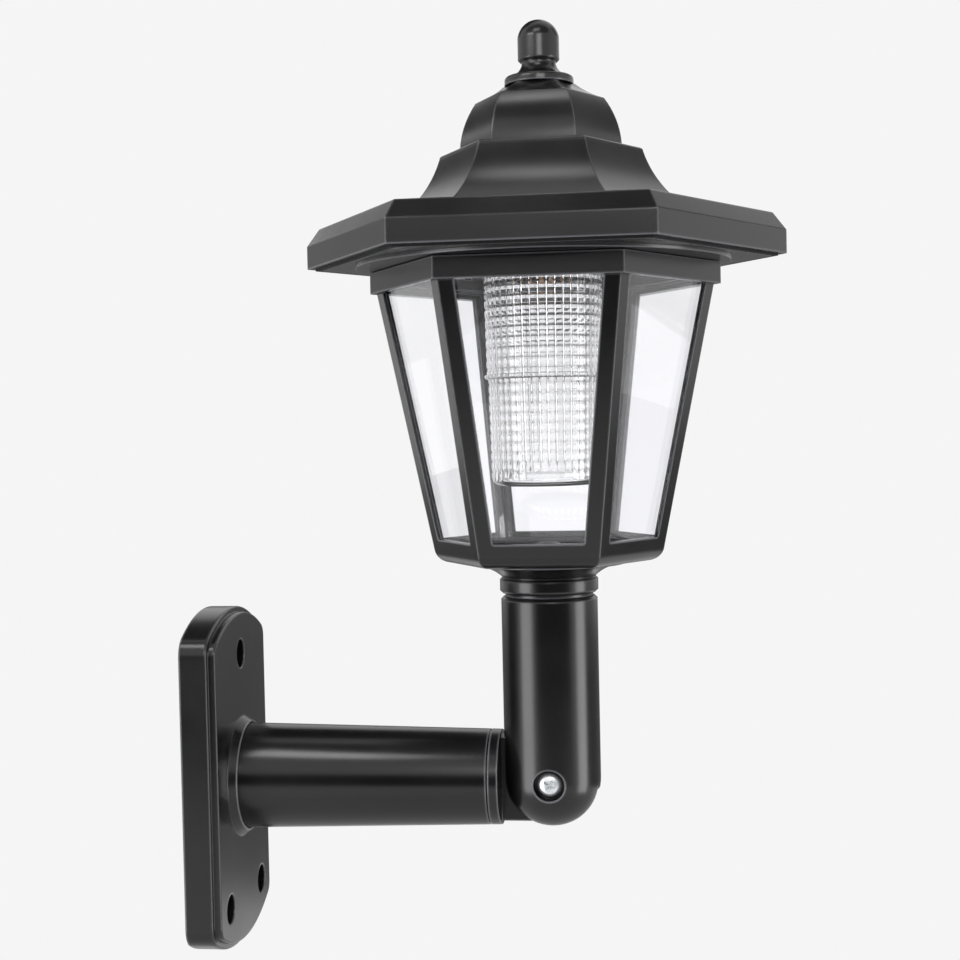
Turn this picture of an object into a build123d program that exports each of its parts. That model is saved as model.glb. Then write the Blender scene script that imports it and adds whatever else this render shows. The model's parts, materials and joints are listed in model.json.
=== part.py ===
from build123d import *
import os
from math import atan2, cos, radians, sin, sqrt

# Solar wall lantern, in millimetres. The origin is on the wall plane at the arm's axis.
# +Z is up, the arm runs out from the wall along -Y, and the lantern stands over its end.

# Wall plate
plate_width = 59.0
plate_height = 105.0
plate_depth = 8.4
plate_end_r = 56.0
plate_corner_r = 6.5
plate_skin = 2.6
plate_edge_r = 0.7
pad_rise = 2.2
pad_setback = 1.8
rib_thickness = 1.6
rib_relief = 1.0

# Wall screw holes
wall_hole_d = 4.6
wall_sink_d = 9.0
wall_sink_depth = 3.0
wall_boss_wall = 2.2
wall_hole_top_z = 38.0
wall_hole_low_z = 37.4
wall_hole_low_x = 17.4

# Arm and its socket in the plate
reach = 107.4
arm_root_r = 16.2
arm_end_r = 14.4
arm_wall = 2.4
arm_end_wall = 4.0
arm_lip = 3.0
groove_width = 0.5
groove_depth = 0.45
socket_rise = 2.6
socket_depth = 3.0
socket_flare = 1.7
socket_rim = 0.5
socket_clearance = 0.1
arm_boss_r = 3.4
arm_boss_sink = 0.5
arm_boss_length = 16.0
arm_screw_angles = (90.0, 210.0, 330.0)
arm_screw_floor = 3.4
arm_screw_bite = 10.0
hub_r = 6.0

# Small self-tapping screws
head_crown = 0.45
tapper_r = 1.5
tapper_head_r = 3.0
tapper_head_h = 2.0
tapper_hole_r = 1.8
pilot_gap = 0.05
pilot_spare = 1.5
head_room = 0.5

# Elbow: the arm's tongue turns in the post's fork on a machine screw
tongue_thickness = 7.0
fork_side_gap = 0.3
fork_gap = 0.3
fork_skin = 1.5
fork_skin_drop = 3.0
fork_roof = 3.2
elbow_gap = 0.8
cheek_thickness = 6.6
pin_r = 2.0
pin_running_gap = 0.08
pin_hole_gap = 0.05
pin_head_r = 3.75
pin_head_h = 2.6
pin_sink_gap = 0.9
nut_across_flats = 7.0
nut_thickness = 3.2
nut_pocket_gap = 0.12

# Post
post_r = 14.6
post_rise = 55.4
post_bore_r = 12.0
post_chamfer = 0.8

# Lantern base: spigot, collar and flared foot
spigot_running_gap = 0.08
spigot_length = 15.0
spigot_wall = 2.2
seat_gap = 0.1
collar_groove = 1.0
neck_r = 13.3
collar_r = 14.9
collar_height = 4.8
collar_chamfer = 0.8
foot_height = 4.4
foot_r = 23.0
foot_edge = 0.7
foot_waist = 0.8
base_top = 3.6
base_boss_r = 4.2
base_screw_r = 1.9
base_screw_bite = 12.0
base_screw_head_r = 4.0
base_screw_head_h = 2.8
peg_r = 1.5
peg_height = 2.0
peg_offset = 9.0
peg_gap = 0.1

# Cage frame, with corner radii across the six-sided section
sill_height = 7.2
window_height = 75.1
cage_low_r = 35.6
cage_top_r = 51.0
cage_floor = 3.2
cage_foot_r = 4.5
leg_width = 4.7
band_overhang = 2.05
band_height = 6.4
band_wall = 2.54
band_ledge = 0.3
pane_lip = 1.4
pane_thickness = 2.0
pane_lap = 2.0
pane_top_lap = 1.2
pane_gap = 0.15

# Bayonet between cage and roof
skirt_gap = 0.4
skirt_wall = 2.4
skirt_floor_gap = 0.3
lug_reach = 2.0
lug_gap = 0.3
lug_height = 1.6
lug_degrees = 10.0
twist_degrees = 20.0
twist_play = 0.4
twist_gap = 0.2
bayonet_angles = (90.0, 210.0, 330.0)

# Underplate
ring_overhang = 3.35
ring_thickness = 1.0
soffit_drop = 0.6
soffit_thickness = 2.3
gasket_width = 1.5
gasket_height = 2.0
cup_collar_wall = 2.4
cup_collar_drop = 2.6
cup_gap = 0.4
roof_screw_margin = 1.1
roof_screw_angles = (30.0, 150.0, 270.0)
roof_boss_r = 3.6
roof_screw_bite = 9.0
screw_recess = 1.5

# Roof, with corner radii across the six-sided section
brim_r = 72.5
fascia_height = 7.0
chamfer_height = 5.3
deck_r = 68.45
deck_rise = 2.0
tier_foot_r = 44.0
tier_waist_r = 35.3
tier_waist_rise = 8.6
tier_top_r = 30.8
tier_height = 18.7
tier_lip_r = 1.2
dome_r = 24.5
dome_belly_r = 23.2
dome_belly_rise = 7.9
shoulder_r = 19.4
shoulder_rise = 15.2
crown_waist_r = 14.4
crown_waist_rise = 17.3
crown_r = 10.8
dome_height = 19.7
roof_wall = 2.2
brim_edge_r = 0.6

# Finial
disc_r = 10.4
disc_height = 2.5
disc_edge_r = 1.0
cove_rise = 3.6
throat_r = 5.2
throat_height = 0.9
knob_r = 6.25
knob_chamfer = 0.6
knob_height = 7.2
knob_dome = 5.4
finial_spigot_r = 3.4
finial_spigot_gap = 0.1
finial_screw_head_r = 5.2
finial_screw_head_h = 1.8
finial_screw_bite = 9.0

# Light cup
cup_top_r = 18.0
cup_low_r = 16.9
cup_wall = 2.0
cup_drop = 65.6
cup_step = 0.4
cup_bead = 0.7
cup_bead_height = 1.6
cup_bead_rise = 32.0
cup_corner_r = 3.0
cup_rings = 10
cup_ring_depth = 0.45
cup_plain_band = 2.0
cup_flange_r = 20.2
cup_flange = 1.5

# Board and lamps
board_length = 58.0
board_width = 28.0
board_thickness = 1.6
board_corner_r = 2.0
board_screw_inset = 3.6
board_screw_length = 4.6
lamp_r = 2.5
lamp_rim = 0.4
lamp_rim_height = 1.0
lamp_body = 5.1
lamp_offset = 6.5

# Battery and its tray
battery_r = 7.25
battery_length = 50.5
battery_nub_r = 2.75
battery_nub = 1.0
contact_thickness = 0.5
contact_size = 9.0
tray_lift = 4.6
tray_floor = 2.0
tray_side_gap = 0.4
tray_side = 1.6
tray_side_height = 6.5
tray_end = 2.0
tray_end_height = 12.0
tray_foot = 5.0
tray_foot_width = 14.0
battery_gap = 0.05

# Slide switch
switch_x = 20.0
switch_y = 25.0
switch_length = 8.6
switch_width = 4.4
switch_height = 4.7
switch_travel = 2.5
slider_length = 3.4
slider_width = 2.4
slider_height = 1.2
stem_length = 2.0
stem_width = 1.8
stem_reach = 1.6
switch_gap = 0.3

# Solar panel
panel_length = 44.0
panel_width = 15.0
panel_thickness = 2.0
panel_gap = 0.15
panel_floor = 1.6
panel_rim = 2.2
panel_wire_r = 1.4
panel_face = -60.0

# Heights worked out from the stack, measured from the arm's axis
collar_z0 = post_rise + seat_gap + collar_groove
collar_z1 = collar_z0 + collar_height
cage_z0 = collar_z1 + foot_height
floor_z = cage_z0 + cage_floor
window_z0 = cage_z0 + sill_height
window_z1 = window_z0 + window_height
band_z1 = window_z1 + band_height
ring_z0 = band_z1 + twist_gap
soffit_z = ring_z0 + ring_thickness
plate_top_z = soffit_z + soffit_thickness
brim_z0 = soffit_z + soffit_drop
fascia_z1 = brim_z0 + fascia_height
deck_z0 = fascia_z1 + chamfer_height
deck_z1 = deck_z0 + deck_rise
tier_z1 = deck_z1 + tier_height
crown_z = tier_z1 + dome_height
flange_z = plate_top_z + cup_flange
board_z = flange_z + board_thickness
tray_z = plate_top_z + tray_lift
battery_z = tray_z + tray_floor + battery_gap + battery_r

# Places along the arm, measured out from the wall
pad_z = plate_depth + pad_rise
arm_seat = pad_z + socket_rise - socket_depth
arm_end = reach - post_r - elbow_gap
arm_screw_sink = arm_seat - arm_screw_floor
arm_screw_circle = arm_root_r - arm_wall - arm_boss_r + arm_boss_sink
tongue_r = post_r - fork_skin - fork_gap
slot_r = tongue_r + fork_gap
slot_width = tongue_thickness + 2 * fork_side_gap
head_seat = slot_width / 2 + cheek_thickness

# Slope of the cage's faces, and the band and bayonet above the panes
flat_share = cos(radians(30))
band_r = cage_top_r + band_overhang
bayonet_bore_r = band_r * flat_share - band_wall
ring_r = band_r + ring_overhang
cage_taper = (cage_top_r - cage_low_r) / window_height
face_lean = atan2(cage_taper * flat_share, 1.0)
cage_wall = pane_lip + pane_thickness
pane_rise = (pane_top_lap + pane_gap) * cos(face_lean) + cage_wall * sin(face_lean)
bore_z0 = window_z1 + pane_rise + band_ledge
skirt_z0 = bore_z0 + skirt_floor_gap
lug_z0 = skirt_z0 + lug_gap
skirt_r = bayonet_bore_r - skirt_gap
lug_r = skirt_r + lug_reach
roof_screw_circle = skirt_r - skirt_wall - tapper_head_r - head_room - roof_screw_margin

# Frames: a bracket piece is drawn standing on the wall plane, and a lantern piece about its own axis
OUT_FROM_WALL = Rot(90, 0, 0)
LANTERN = Pos(0, -reach, 0)
SPIKES_ALONG_X = Rot(0, 90, 0)
FACES = tuple(60.0 * side for side in range(6))


def upright(radius, low, high):
    """A round bar about Z between two heights."""
    return Pos(0, 0, (low + high) / 2) * Cylinder(radius, high - low)


def hexagon(corner_r):
    """A six-sided section with a corner on the Y axis and a flat across the X axis."""
    return RegularPolygon(corner_r, 6, rotation=30)


def six_sided(low_r, low, high_r, high):
    """A straight or tapered six-sided block between two heights."""
    return loft([Pos(0, 0, low) * hexagon(low_r), Pos(0, 0, high) * hexagon(high_r)], ruled=True)


def ring_sector(inner_r, outer_r, low, high, start, sweep):
    """Part of a square-edged ring, from a start angle through a sweep in degrees."""
    section = Pos((inner_r + outer_r) / 2, (low + high) / 2) * Rectangle(outer_r - inner_r, high - low)
    return Rot(0, 0, start) * revolve(Plane.XZ * section, Axis.Z, sweep)


def turned(*edges):
    """A turned solid about Z from the edges of its half section in the XZ plane."""
    return revolve(Plane.XZ * make_face(list(edges)), Axis.Z)


def screw(shank_r, length, head_r, head_h):
    """A pan-head screw along +Z, with the underside of its head at the origin."""
    head = upright(head_r, -head_h, 0)
    crown = head.edges().filter_by(GeomType.CIRCLE).sort_by(Axis.Z)[0]
    return fillet(crown, head_h * head_crown) + upright(shank_r, 0, length)


def tapper(length):
    """One of the small self-tapping screws."""
    return screw(tapper_r, length, tapper_head_r, tapper_head_h)


def around(angles, radius):
    """Places at given angles on one circle."""
    return [(radius * cos(radians(angle)), radius * sin(radians(angle))) for angle in angles]


def plate_outline(inset):
    """Outline of the plate, arched at both ends, drawn in by a setback."""
    half_width = plate_width / 2 - inset
    half_height = plate_height / 2 - inset
    end_r = plate_end_r - inset
    side = half_height - end_r + sqrt(end_r ** 2 - half_width ** 2)
    outline = make_face([
        Line((half_width, -side), (half_width, side)),
        ThreePointArc((half_width, side), (0, half_height), (-half_width, side)),
        Line((-half_width, side), (-half_width, -side)),
        ThreePointArc((-half_width, -side), (0, -half_height), (half_width, -side)),
    ])
    return fillet(outline.vertices(), max(plate_corner_r - inset, plate_edge_r))


wall_holes = [
    (0, wall_hole_top_z),
    (wall_hole_low_x, -wall_hole_low_z),
    (-wall_hole_low_x, -wall_hole_low_z),
]
arm_screw_places = around(arm_screw_angles, arm_screw_circle)


def make_wall_plate():
    """Plate with a raised pad, a flared arm socket, and a ribbed hollow back with screw bosses."""
    base = extrude(plate_outline(0), plate_depth)
    base = fillet(base.faces().sort_by(Axis.Z)[-1].edges(), plate_edge_r)
    pad = extrude(Pos(0, 0, plate_depth) * plate_outline(pad_setback), pad_rise)
    pad = fillet(pad.faces().sort_by(Axis.Z)[-1].edges(), plate_edge_r)
    rim_r = arm_root_r + socket_clearance + socket_rim
    socket = Pos(0, 0, pad_z + socket_rise / 2) * Cone(rim_r + socket_flare, rim_r, socket_rise)
    ceiling = pad_z - plate_skin
    hollow = extrude(plate_outline(plate_skin), ceiling)
    for x, y in wall_holes:
        hollow -= Pos(x, y, 0) * upright(wall_sink_d / 2 + wall_boss_wall, 0, ceiling)
    for x, y in arm_screw_places:
        hollow -= Pos(x, y, 0) * upright(tapper_head_r + head_room + rib_thickness, 0, ceiling)
    hollow -= upright(hub_r, 0, ceiling)
    rib_height = ceiling - rib_relief
    rib_middle = Pos(0, 0, rib_relief + rib_height / 2)
    hollow -= rib_middle * Box(plate_width, rib_thickness, rib_height)
    hollow -= rib_middle * Box(rib_thickness, plate_height, rib_height)
    plate = base + pad + socket - hollow
    plate -= upright(arm_root_r + socket_clearance, arm_seat, pad_z + socket_rise)
    for x, y in wall_holes:
        plate -= Pos(x, y, 0) * upright(wall_hole_d / 2, 0, pad_z)
        plate -= Pos(x, y, 0) * upright(wall_sink_d / 2, pad_z - wall_sink_depth, pad_z)
    for x, y in arm_screw_places:
        plate -= Pos(x, y, 0) * upright(tapper_hole_r, 0, arm_seat)
        plate -= Pos(x, y, 0) * upright(tapper_head_r + head_room, 0, arm_screw_sink)
    return OUT_FROM_WALL * plate


def make_arm():
    """Hollow tapered arm with screw bosses at its root, and a grooved lip and tongue at its end."""
    length = arm_end - arm_seat
    middle = Pos(0, 0, (arm_seat + arm_end) / 2)
    tube = middle * Cone(arm_root_r, arm_end_r, length)
    bore_end = arm_end - arm_end_wall
    bore_end_r = arm_root_r + (arm_end_r - arm_root_r) * (bore_end - arm_seat) / length
    bore_middle = Pos(0, 0, (arm_seat + bore_end) / 2)
    bore = bore_middle * Cone(arm_root_r - arm_wall, bore_end_r - arm_wall, bore_end - arm_seat)
    for x, y in arm_screw_places:
        bore -= Pos(x, y, 0) * upright(arm_boss_r, arm_seat, arm_seat + arm_boss_length)
    arm = tube - bore
    lip_z = arm_end - arm_lip
    arm -= ring_sector(arm_end_r - groove_depth, arm_root_r, lip_z - groove_width, lip_z, 0, 360)
    pilot_end = arm_seat + arm_screw_bite + pilot_spare
    for x, y in arm_screw_places:
        arm -= Pos(x, y, 0) * upright(tapper_r + pilot_gap, arm_seat, pilot_end)
    tongue_root = arm_end - arm_end_wall / 2
    tongue_run = reach - tongue_root
    tongue = Pos(0, tongue_root + tongue_run / 2) * Rectangle(2 * tongue_r, tongue_run)
    tongue += Pos(0, reach) * Circle(tongue_r)
    arm += extrude(Plane.YZ * tongue, tongue_thickness / 2, both=True)
    pin = SPIKES_ALONG_X * Cylinder(pin_r + pin_running_gap, 2 * tongue_thickness)
    return OUT_FROM_WALL * (arm - Pos(0, 0, reach) * pin)


def make_arm_screws():
    """Screws from behind the plate into the arm's bosses."""
    places = [Pos(x, y, arm_screw_sink) for x, y in arm_screw_places]
    length = arm_screw_floor + arm_screw_bite
    return Compound(children=[OUT_FROM_WALL * place * tapper(length) for place in places])


def make_post():
    """Round post with a bore for the lantern's spigot and a forked, rounded lower end."""
    post = chamfer(upright(post_r, 0, post_rise).edges().sort_by(Axis.Z)[-1], post_chamfer)
    post += Sphere(post_r)
    post -= upright(post_bore_r, slot_r + fork_roof, post_rise)
    clear = 2 * post_r
    slot = Circle(slot_r) + Pos(clear / 2, slot_r - clear) * Rectangle(clear, 2 * clear)
    slot += Pos(-slot_r / 2, -clear / 2) * Rectangle(slot_r, clear)
    slot += Pos(-clear / 2, -fork_skin_drop - clear / 2) * Rectangle(clear, clear)
    post -= extrude(Plane.YZ * slot, slot_width / 2, both=True)
    post -= SPIKES_ALONG_X * Cylinder(pin_r + pin_hole_gap, 2 * clear)
    sink = SPIKES_ALONG_X * upright(pin_head_r + pin_sink_gap, -clear, -head_seat)
    nut_r = nut_across_flats / 2 + nut_pocket_gap
    pocket = extrude(RegularPolygon(nut_r, 6, major_radius=False), clear)
    pocket = SPIKES_ALONG_X * Pos(0, 0, head_seat) * pocket
    return LANTERN * (post - sink - pocket)


def make_elbow_screw():
    """Machine screw that pins the fork to the tongue."""
    length = 2 * head_seat + nut_thickness
    body = Pos(-head_seat, 0, 0) * SPIKES_ALONG_X * screw(pin_r, length, pin_head_r, pin_head_h)
    return LANTERN * body


def make_elbow_nut():
    """Hex nut in the far cheek."""
    nut = extrude(RegularPolygon(nut_across_flats / 2, 6, major_radius=False), nut_thickness)
    nut -= upright(pin_r + pin_hole_gap, 0, nut_thickness)
    return LANTERN * Pos(head_seat, 0, 0) * SPIKES_ALONG_X * nut


def make_lantern_base():
    """Spigot, collar and flared foot in one moulding, hollow below, with a screw boss."""
    spigot_r = post_bore_r - spigot_running_gap
    low = post_rise - spigot_length
    seat = post_rise + seat_gap
    edge = collar_r - collar_chamfer
    foot_low = cage_z0 - foot_edge
    waist = ((edge + foot_r) / 2 - foot_waist / 2, (collar_z1 + foot_low) / 2 + foot_waist)
    base = turned(
        Polyline(
            (0, cage_z0), (0, low), (spigot_r, low), (spigot_r, seat), (neck_r, seat), (neck_r, collar_z0),
            (edge, collar_z0), (collar_r, collar_z0 + collar_chamfer), (collar_r, collar_z1 - collar_chamfer),
            (edge, collar_z1),
        ),
        ThreePointArc((edge, collar_z1), waist, (foot_r, foot_low)),
        Polyline((foot_r, foot_low), (foot_r, cage_z0), (0, cage_z0)),
    )
    base -= upright(spigot_r - spigot_wall, low, cage_z0 - base_top) - upright(base_boss_r, low, cage_z0)
    base -= upright(base_screw_r + pilot_gap, cage_z0 - base_screw_bite - pilot_spare, cage_z0)
    for side in (-1, 1):
        base += Pos(side * peg_offset, 0, 0) * upright(peg_r, cage_z0, cage_z0 + peg_height)
    return LANTERN * base


def make_base_screw():
    """Screw from the cage floor down into the base."""
    body = screw(base_screw_r, cage_floor + base_screw_bite, base_screw_head_r, base_screw_head_h)
    return LANTERN * Pos(0, 0, floor_z) * Rot(180, 0, 0) * body


def cage_r(z):
    """Corner radius of the tapered cage at a height."""
    return cage_low_r + (z - window_z0) * cage_taper


def face_plane(angle):
    """Plane of one leaning cage face at the middle of its window, with Y up the face and Z outward."""
    middle = (window_z0 + window_z1) / 2
    flat = cage_r(middle) * flat_share
    direction = Vector(cos(radians(angle)), sin(radians(angle)), 0)
    origin = direction * flat + Vector(0, 0, middle)
    sideways = Vector(-sin(radians(angle)), cos(radians(angle)), 0)
    outward = direction * cos(face_lean) - Vector(0, 0, sin(face_lean))
    return Plane(origin=origin, x_dir=sideways, z_dir=outward)


def window_outline(lap, top_lap):
    """Tapered window drawn on a cage face, grown by a lap at its sides and foot and another at its top."""
    half_slant = window_height / cos(face_lean) / 2
    splay = (cage_top_r - cage_low_r) / 4 / half_slant
    middle = (cage_low_r + cage_top_r) / 4 - leg_width + lap * sqrt(1 + splay ** 2)
    foot = -half_slant - lap
    top = half_slant + top_lap
    low = middle + foot * splay
    high = middle + top * splay
    return make_face(Polyline((-low, foot), (low, foot), (high, top), (-high, top), close=True))


def make_cage_frame():
    """Six-sided frame with windows, pane rebates, a rounded sill and the bayonet band."""
    frame = six_sided(cage_r(cage_z0), cage_z0, cage_top_r, window_z1)
    frame = fillet(frame.faces().sort_by(Axis.Z)[0].edges(), cage_foot_r)
    frame += six_sided(band_r, window_z1, band_r, band_z1)
    inward = cage_wall / cos(face_lean) / flat_share
    frame -= six_sided(cage_r(floor_z) - inward, floor_z, cage_r(bore_z0) - inward, bore_z0)
    frame -= upright(bayonet_bore_r, bore_z0, band_z1)
    for angle in FACES:
        plane = face_plane(angle)
        frame -= extrude(plane * window_outline(0, 0), 2 * cage_wall, both=True)
        rebate = window_outline(pane_lap + pane_gap, pane_top_lap + pane_gap)
        frame -= extrude(plane.offset(-pane_lip) * rebate, -cage_wall)
    groove_z1 = lug_z0 + lug_height + lug_gap
    half = (twist_degrees + lug_degrees) / 2 + twist_play
    entry = lug_degrees + 2 * twist_play
    for corner in bayonet_angles:
        frame -= ring_sector(skirt_r, lug_r + lug_gap, lug_z0 - lug_gap, groove_z1, corner - half, 2 * half)
        frame -= ring_sector(skirt_r, lug_r + lug_gap, lug_z0, band_z1, corner + half - entry, entry)
    frame -= upright(base_screw_r + peg_gap, cage_z0, floor_z)
    peg_hole = upright(peg_r + peg_gap, cage_z0, cage_z0 + peg_height + peg_gap)
    for side in (-1, 1):
        frame -= Pos(side * peg_offset, 0, 0) * peg_hole
    return LANTERN * frame


def make_pane(angle):
    """One flat clear pane, seated in the rebate behind its window."""
    outline = face_plane(angle).offset(-pane_lip) * window_outline(pane_lap, pane_top_lap)
    return LANTERN * extrude(outline, -pane_thickness)


def roof_outline():
    """Half section of the roof: fascia, chamfer, deck, concave skirt, lip, ogee dome and crown."""
    def flat(radius):
        return radius * flat_share

    tier_flat = flat(tier_top_r)
    lip_turn = tier_lip_r * (1 - sin(radians(45)))
    half = make_face([
        Polyline(
            (0, brim_z0), (flat(brim_r), brim_z0), (flat(brim_r), fascia_z1), (flat(deck_r), deck_z0),
            (flat(tier_foot_r), deck_z1),
        ),
        ThreePointArc(
            (flat(tier_foot_r), deck_z1), (flat(tier_waist_r), deck_z1 + tier_waist_rise),
            (tier_flat, tier_z1 - tier_lip_r),
        ),
        ThreePointArc(
            (tier_flat, tier_z1 - tier_lip_r), (tier_flat - lip_turn, tier_z1 - lip_turn),
            (tier_flat - tier_lip_r, tier_z1),
        ),
        Line((tier_flat - tier_lip_r, tier_z1), (flat(dome_r), tier_z1)),
        ThreePointArc(
            (flat(dome_r), tier_z1), (flat(dome_belly_r), tier_z1 + dome_belly_rise),
            (flat(shoulder_r), tier_z1 + shoulder_rise),
        ),
        ThreePointArc(
            (flat(shoulder_r), tier_z1 + shoulder_rise), (flat(crown_waist_r), tier_z1 + crown_waist_rise),
            (flat(crown_r), crown_z),
        ),
        Polyline((flat(crown_r), crown_z), (0, crown_z), (0, brim_z0)),
    ])
    edges = [(flat(brim_r), fascia_z1), (flat(deck_r), deck_z0)]
    half = fillet([half.vertices().sort_by_distance(edge)[0] for edge in edges], brim_edge_r)
    return half + mirror(half, Plane.YZ)


def three_way(outline):
    """Six-sided body whose every face pair has the same section: three slabs, crossed."""
    slab = extrude(Plane.XZ * outline, brim_r, both=True)
    return slab & (Rot(0, 0, 60) * slab) & (Rot(0, 0, 120) * slab)


def deck_plane():
    """Plane of the sloping deck that carries the solar panel, with X along the brim."""
    outer = deck_r * flat_share
    inner = tier_foot_r * flat_share
    slope = atan2(deck_rise, outer - inner)
    direction = Vector(cos(radians(panel_face)), sin(radians(panel_face)), 0)
    origin = direction * ((outer + inner) / 2) + Vector(0, 0, (deck_z0 + deck_z1) / 2)
    sideways = Vector(-sin(radians(panel_face)), cos(radians(panel_face)), 0)
    upward = direction * sin(slope) + Vector(0, 0, cos(slope))
    return Plane(origin=origin, x_dir=sideways, z_dir=upward)


roof_inner_r = brim_r - roof_wall / flat_share
underplate_r = roof_inner_r - gasket_width / flat_share
roof_screw_places = around(roof_screw_angles, roof_screw_circle)


def make_roof_shell():
    """Thin roof moulding with screw bosses, a panel tray and a hole for the finial's spigot."""
    outline = roof_outline()
    solid = three_way(outline)
    inner_flat = roof_inner_r * flat_share
    inside = offset(outline, -roof_wall, kind=Kind.INTERSECTION)
    inside += Pos(0, brim_z0 + roof_wall) * Rectangle(2 * inner_flat, 2 * roof_wall)
    hollow = three_way(inside)
    for x, y in roof_screw_places:
        hollow -= Pos(x, y, 0) * upright(roof_boss_r, plate_top_z, crown_z)
    plane = deck_plane()
    tray_depth = panel_thickness + panel_floor
    rim = 2 * (panel_gap + panel_rim)
    hollow -= plane * (Pos(0, 0, -tray_depth / 2) * Box(panel_length + rim, panel_width + rim, tray_depth))
    shell = solid - hollow
    pilot_end = plate_top_z + roof_screw_bite + pilot_spare
    for x, y in roof_screw_places:
        shell -= Pos(x, y, 0) * upright(tapper_r + pilot_gap, plate_top_z, pilot_end)
    recess = Box(panel_length + 2 * panel_gap, panel_width + 2 * panel_gap, 2 * panel_thickness)
    shell -= plane * recess
    shell -= plane * upright(panel_wire_r, -2 * tray_depth, 0)
    shell -= upright(finial_spigot_r + finial_spigot_gap, crown_z - 2 * roof_wall, crown_z)
    return LANTERN * shell


def make_finial():
    """Turned knob on a disc foot, with a spigot through the crown."""
    throat_z0 = crown_z + disc_height + cove_rise
    knob_z0 = throat_z0 + throat_height
    knob_z1 = knob_z0 + knob_height
    low = crown_z - roof_wall
    edge_turn = disc_edge_r * (1 - sin(radians(45)))
    rim = (disc_r, crown_z + disc_height - disc_edge_r)
    top = (disc_r - disc_edge_r, crown_z + disc_height)
    cove = ((throat_r + top[0]) / 2 - cove_rise / 6, crown_z + disc_height + cove_rise / 3)
    ball_r = (knob_r ** 2 + knob_dome ** 2) / (2 * knob_dome)
    ball_z = knob_z1 + knob_dome - ball_r
    half_way = (atan2(knob_z1 - ball_z, knob_r) + radians(90)) / 2
    shoulder = (ball_r * cos(half_way), ball_z + ball_r * sin(half_way))
    knob = turned(
        Polyline((0, low), (finial_spigot_r, low), (finial_spigot_r, crown_z), (disc_r, crown_z), rim),
        ThreePointArc(rim, (disc_r - edge_turn, rim[1] + disc_edge_r - edge_turn), top),
        ThreePointArc(top, cove, (throat_r, throat_z0)),
        Polyline(
            (throat_r, throat_z0), (throat_r, knob_z0), (knob_r - knob_chamfer, knob_z0),
            (knob_r, knob_z0 + knob_chamfer), (knob_r, knob_z1),
        ),
        ThreePointArc((knob_r, knob_z1), shoulder, (0, knob_z1 + knob_dome)),
        Line((0, knob_z1 + knob_dome), (0, low)),
    )
    knob -= upright(tapper_r + pilot_gap, low, low + finial_screw_bite + pilot_spare)
    return LANTERN * knob


def make_finial_screw():
    """Washer-head screw from inside the crown into the finial."""
    body = screw(tapper_r, finial_screw_bite, finial_screw_head_r, finial_screw_head_h)
    return LANTERN * Pos(0, 0, crown_z - roof_wall) * body


def make_roof_gasket():
    """Foam seal between the fascia's inner wall and the edge of the underplate."""
    top = soffit_z + gasket_height
    seal = six_sided(roof_inner_r, soffit_z, roof_inner_r, top)
    return LANTERN * (seal - six_sided(underplate_r, soffit_z, underplate_r, top))


board_screw_places = [(side * (board_length / 2 - board_screw_inset), 0) for side in (-1, 1)]
tray_end_y = battery_length / 2 + contact_thickness
tray_length = 2 * (tray_end_y + tray_end)
tray_screw_places = [(0, side * (tray_length / 2 - tray_foot / 2)) for side in (-1, 1)]


def make_roof_underplate():
    """Soffit with the round step, the bayonet skirt and lugs, and the collar for the light cup."""
    plate = six_sided(underplate_r, soffit_z, underplate_r, plate_top_z)
    plate += upright(ring_r, ring_z0, soffit_z)
    plate += upright(skirt_r, skirt_z0, ring_z0) - upright(skirt_r - skirt_wall, skirt_z0, ring_z0)
    for corner in bayonet_angles:
        start = corner - (twist_degrees + lug_degrees) / 2
        plate += ring_sector(skirt_r - skirt_wall / 2, lug_r, lug_z0, lug_z0 + lug_height, start, lug_degrees)
    hole_r = cup_top_r + cup_gap
    plate += upright(hole_r + cup_collar_wall, ring_z0 - cup_collar_drop, ring_z0)
    plate -= upright(hole_r, ring_z0 - cup_collar_drop, plate_top_z)
    pilot_low = board_z - board_screw_length - pilot_gap
    for x, y in board_screw_places:
        plate += Pos(x, y, 0) * upright(tapper_head_r, plate_top_z, flange_z)
        plate -= Pos(x, y, 0) * upright(tapper_r + pilot_gap, pilot_low, flange_z)
    for x, y in roof_screw_places + tray_screw_places:
        plate -= Pos(x, y, 0) * upright(tapper_hole_r, ring_z0, plate_top_z)
        plate -= Pos(x, y, 0) * upright(tapper_head_r + head_room, ring_z0, ring_z0 + screw_recess)
    slot_length = stem_length + switch_travel + 2 * switch_gap
    stem_slot = Box(slot_length, stem_width + 2 * switch_gap, 4 * soffit_thickness)
    plate -= Pos(switch_x, switch_y, soffit_z) * stem_slot
    return LANTERN * plate


def make_underplate_screws():
    """Screws from the soffit up into the roof's bosses."""
    length = plate_top_z - ring_z0 - screw_recess + roof_screw_bite
    places = [Pos(x, y, ring_z0 + screw_recess) for x, y in roof_screw_places]
    return Compound(children=[LANTERN * place * tapper(length) for place in places])


def grooved(low, high):
    """Zigzag up the cup's wall from one crest to another, with a groove in every ring between."""
    step = (Vector(*high) - Vector(*low)) / cup_rings
    groove = step / 2 - Vector(cup_ring_depth, 0)
    points = [Vector(*low)]
    for ring in range(cup_rings):
        points.append(points[-1] + groove)
        points.append(Vector(*low) + step * (ring + 1))
    return Polyline(*points)


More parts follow.
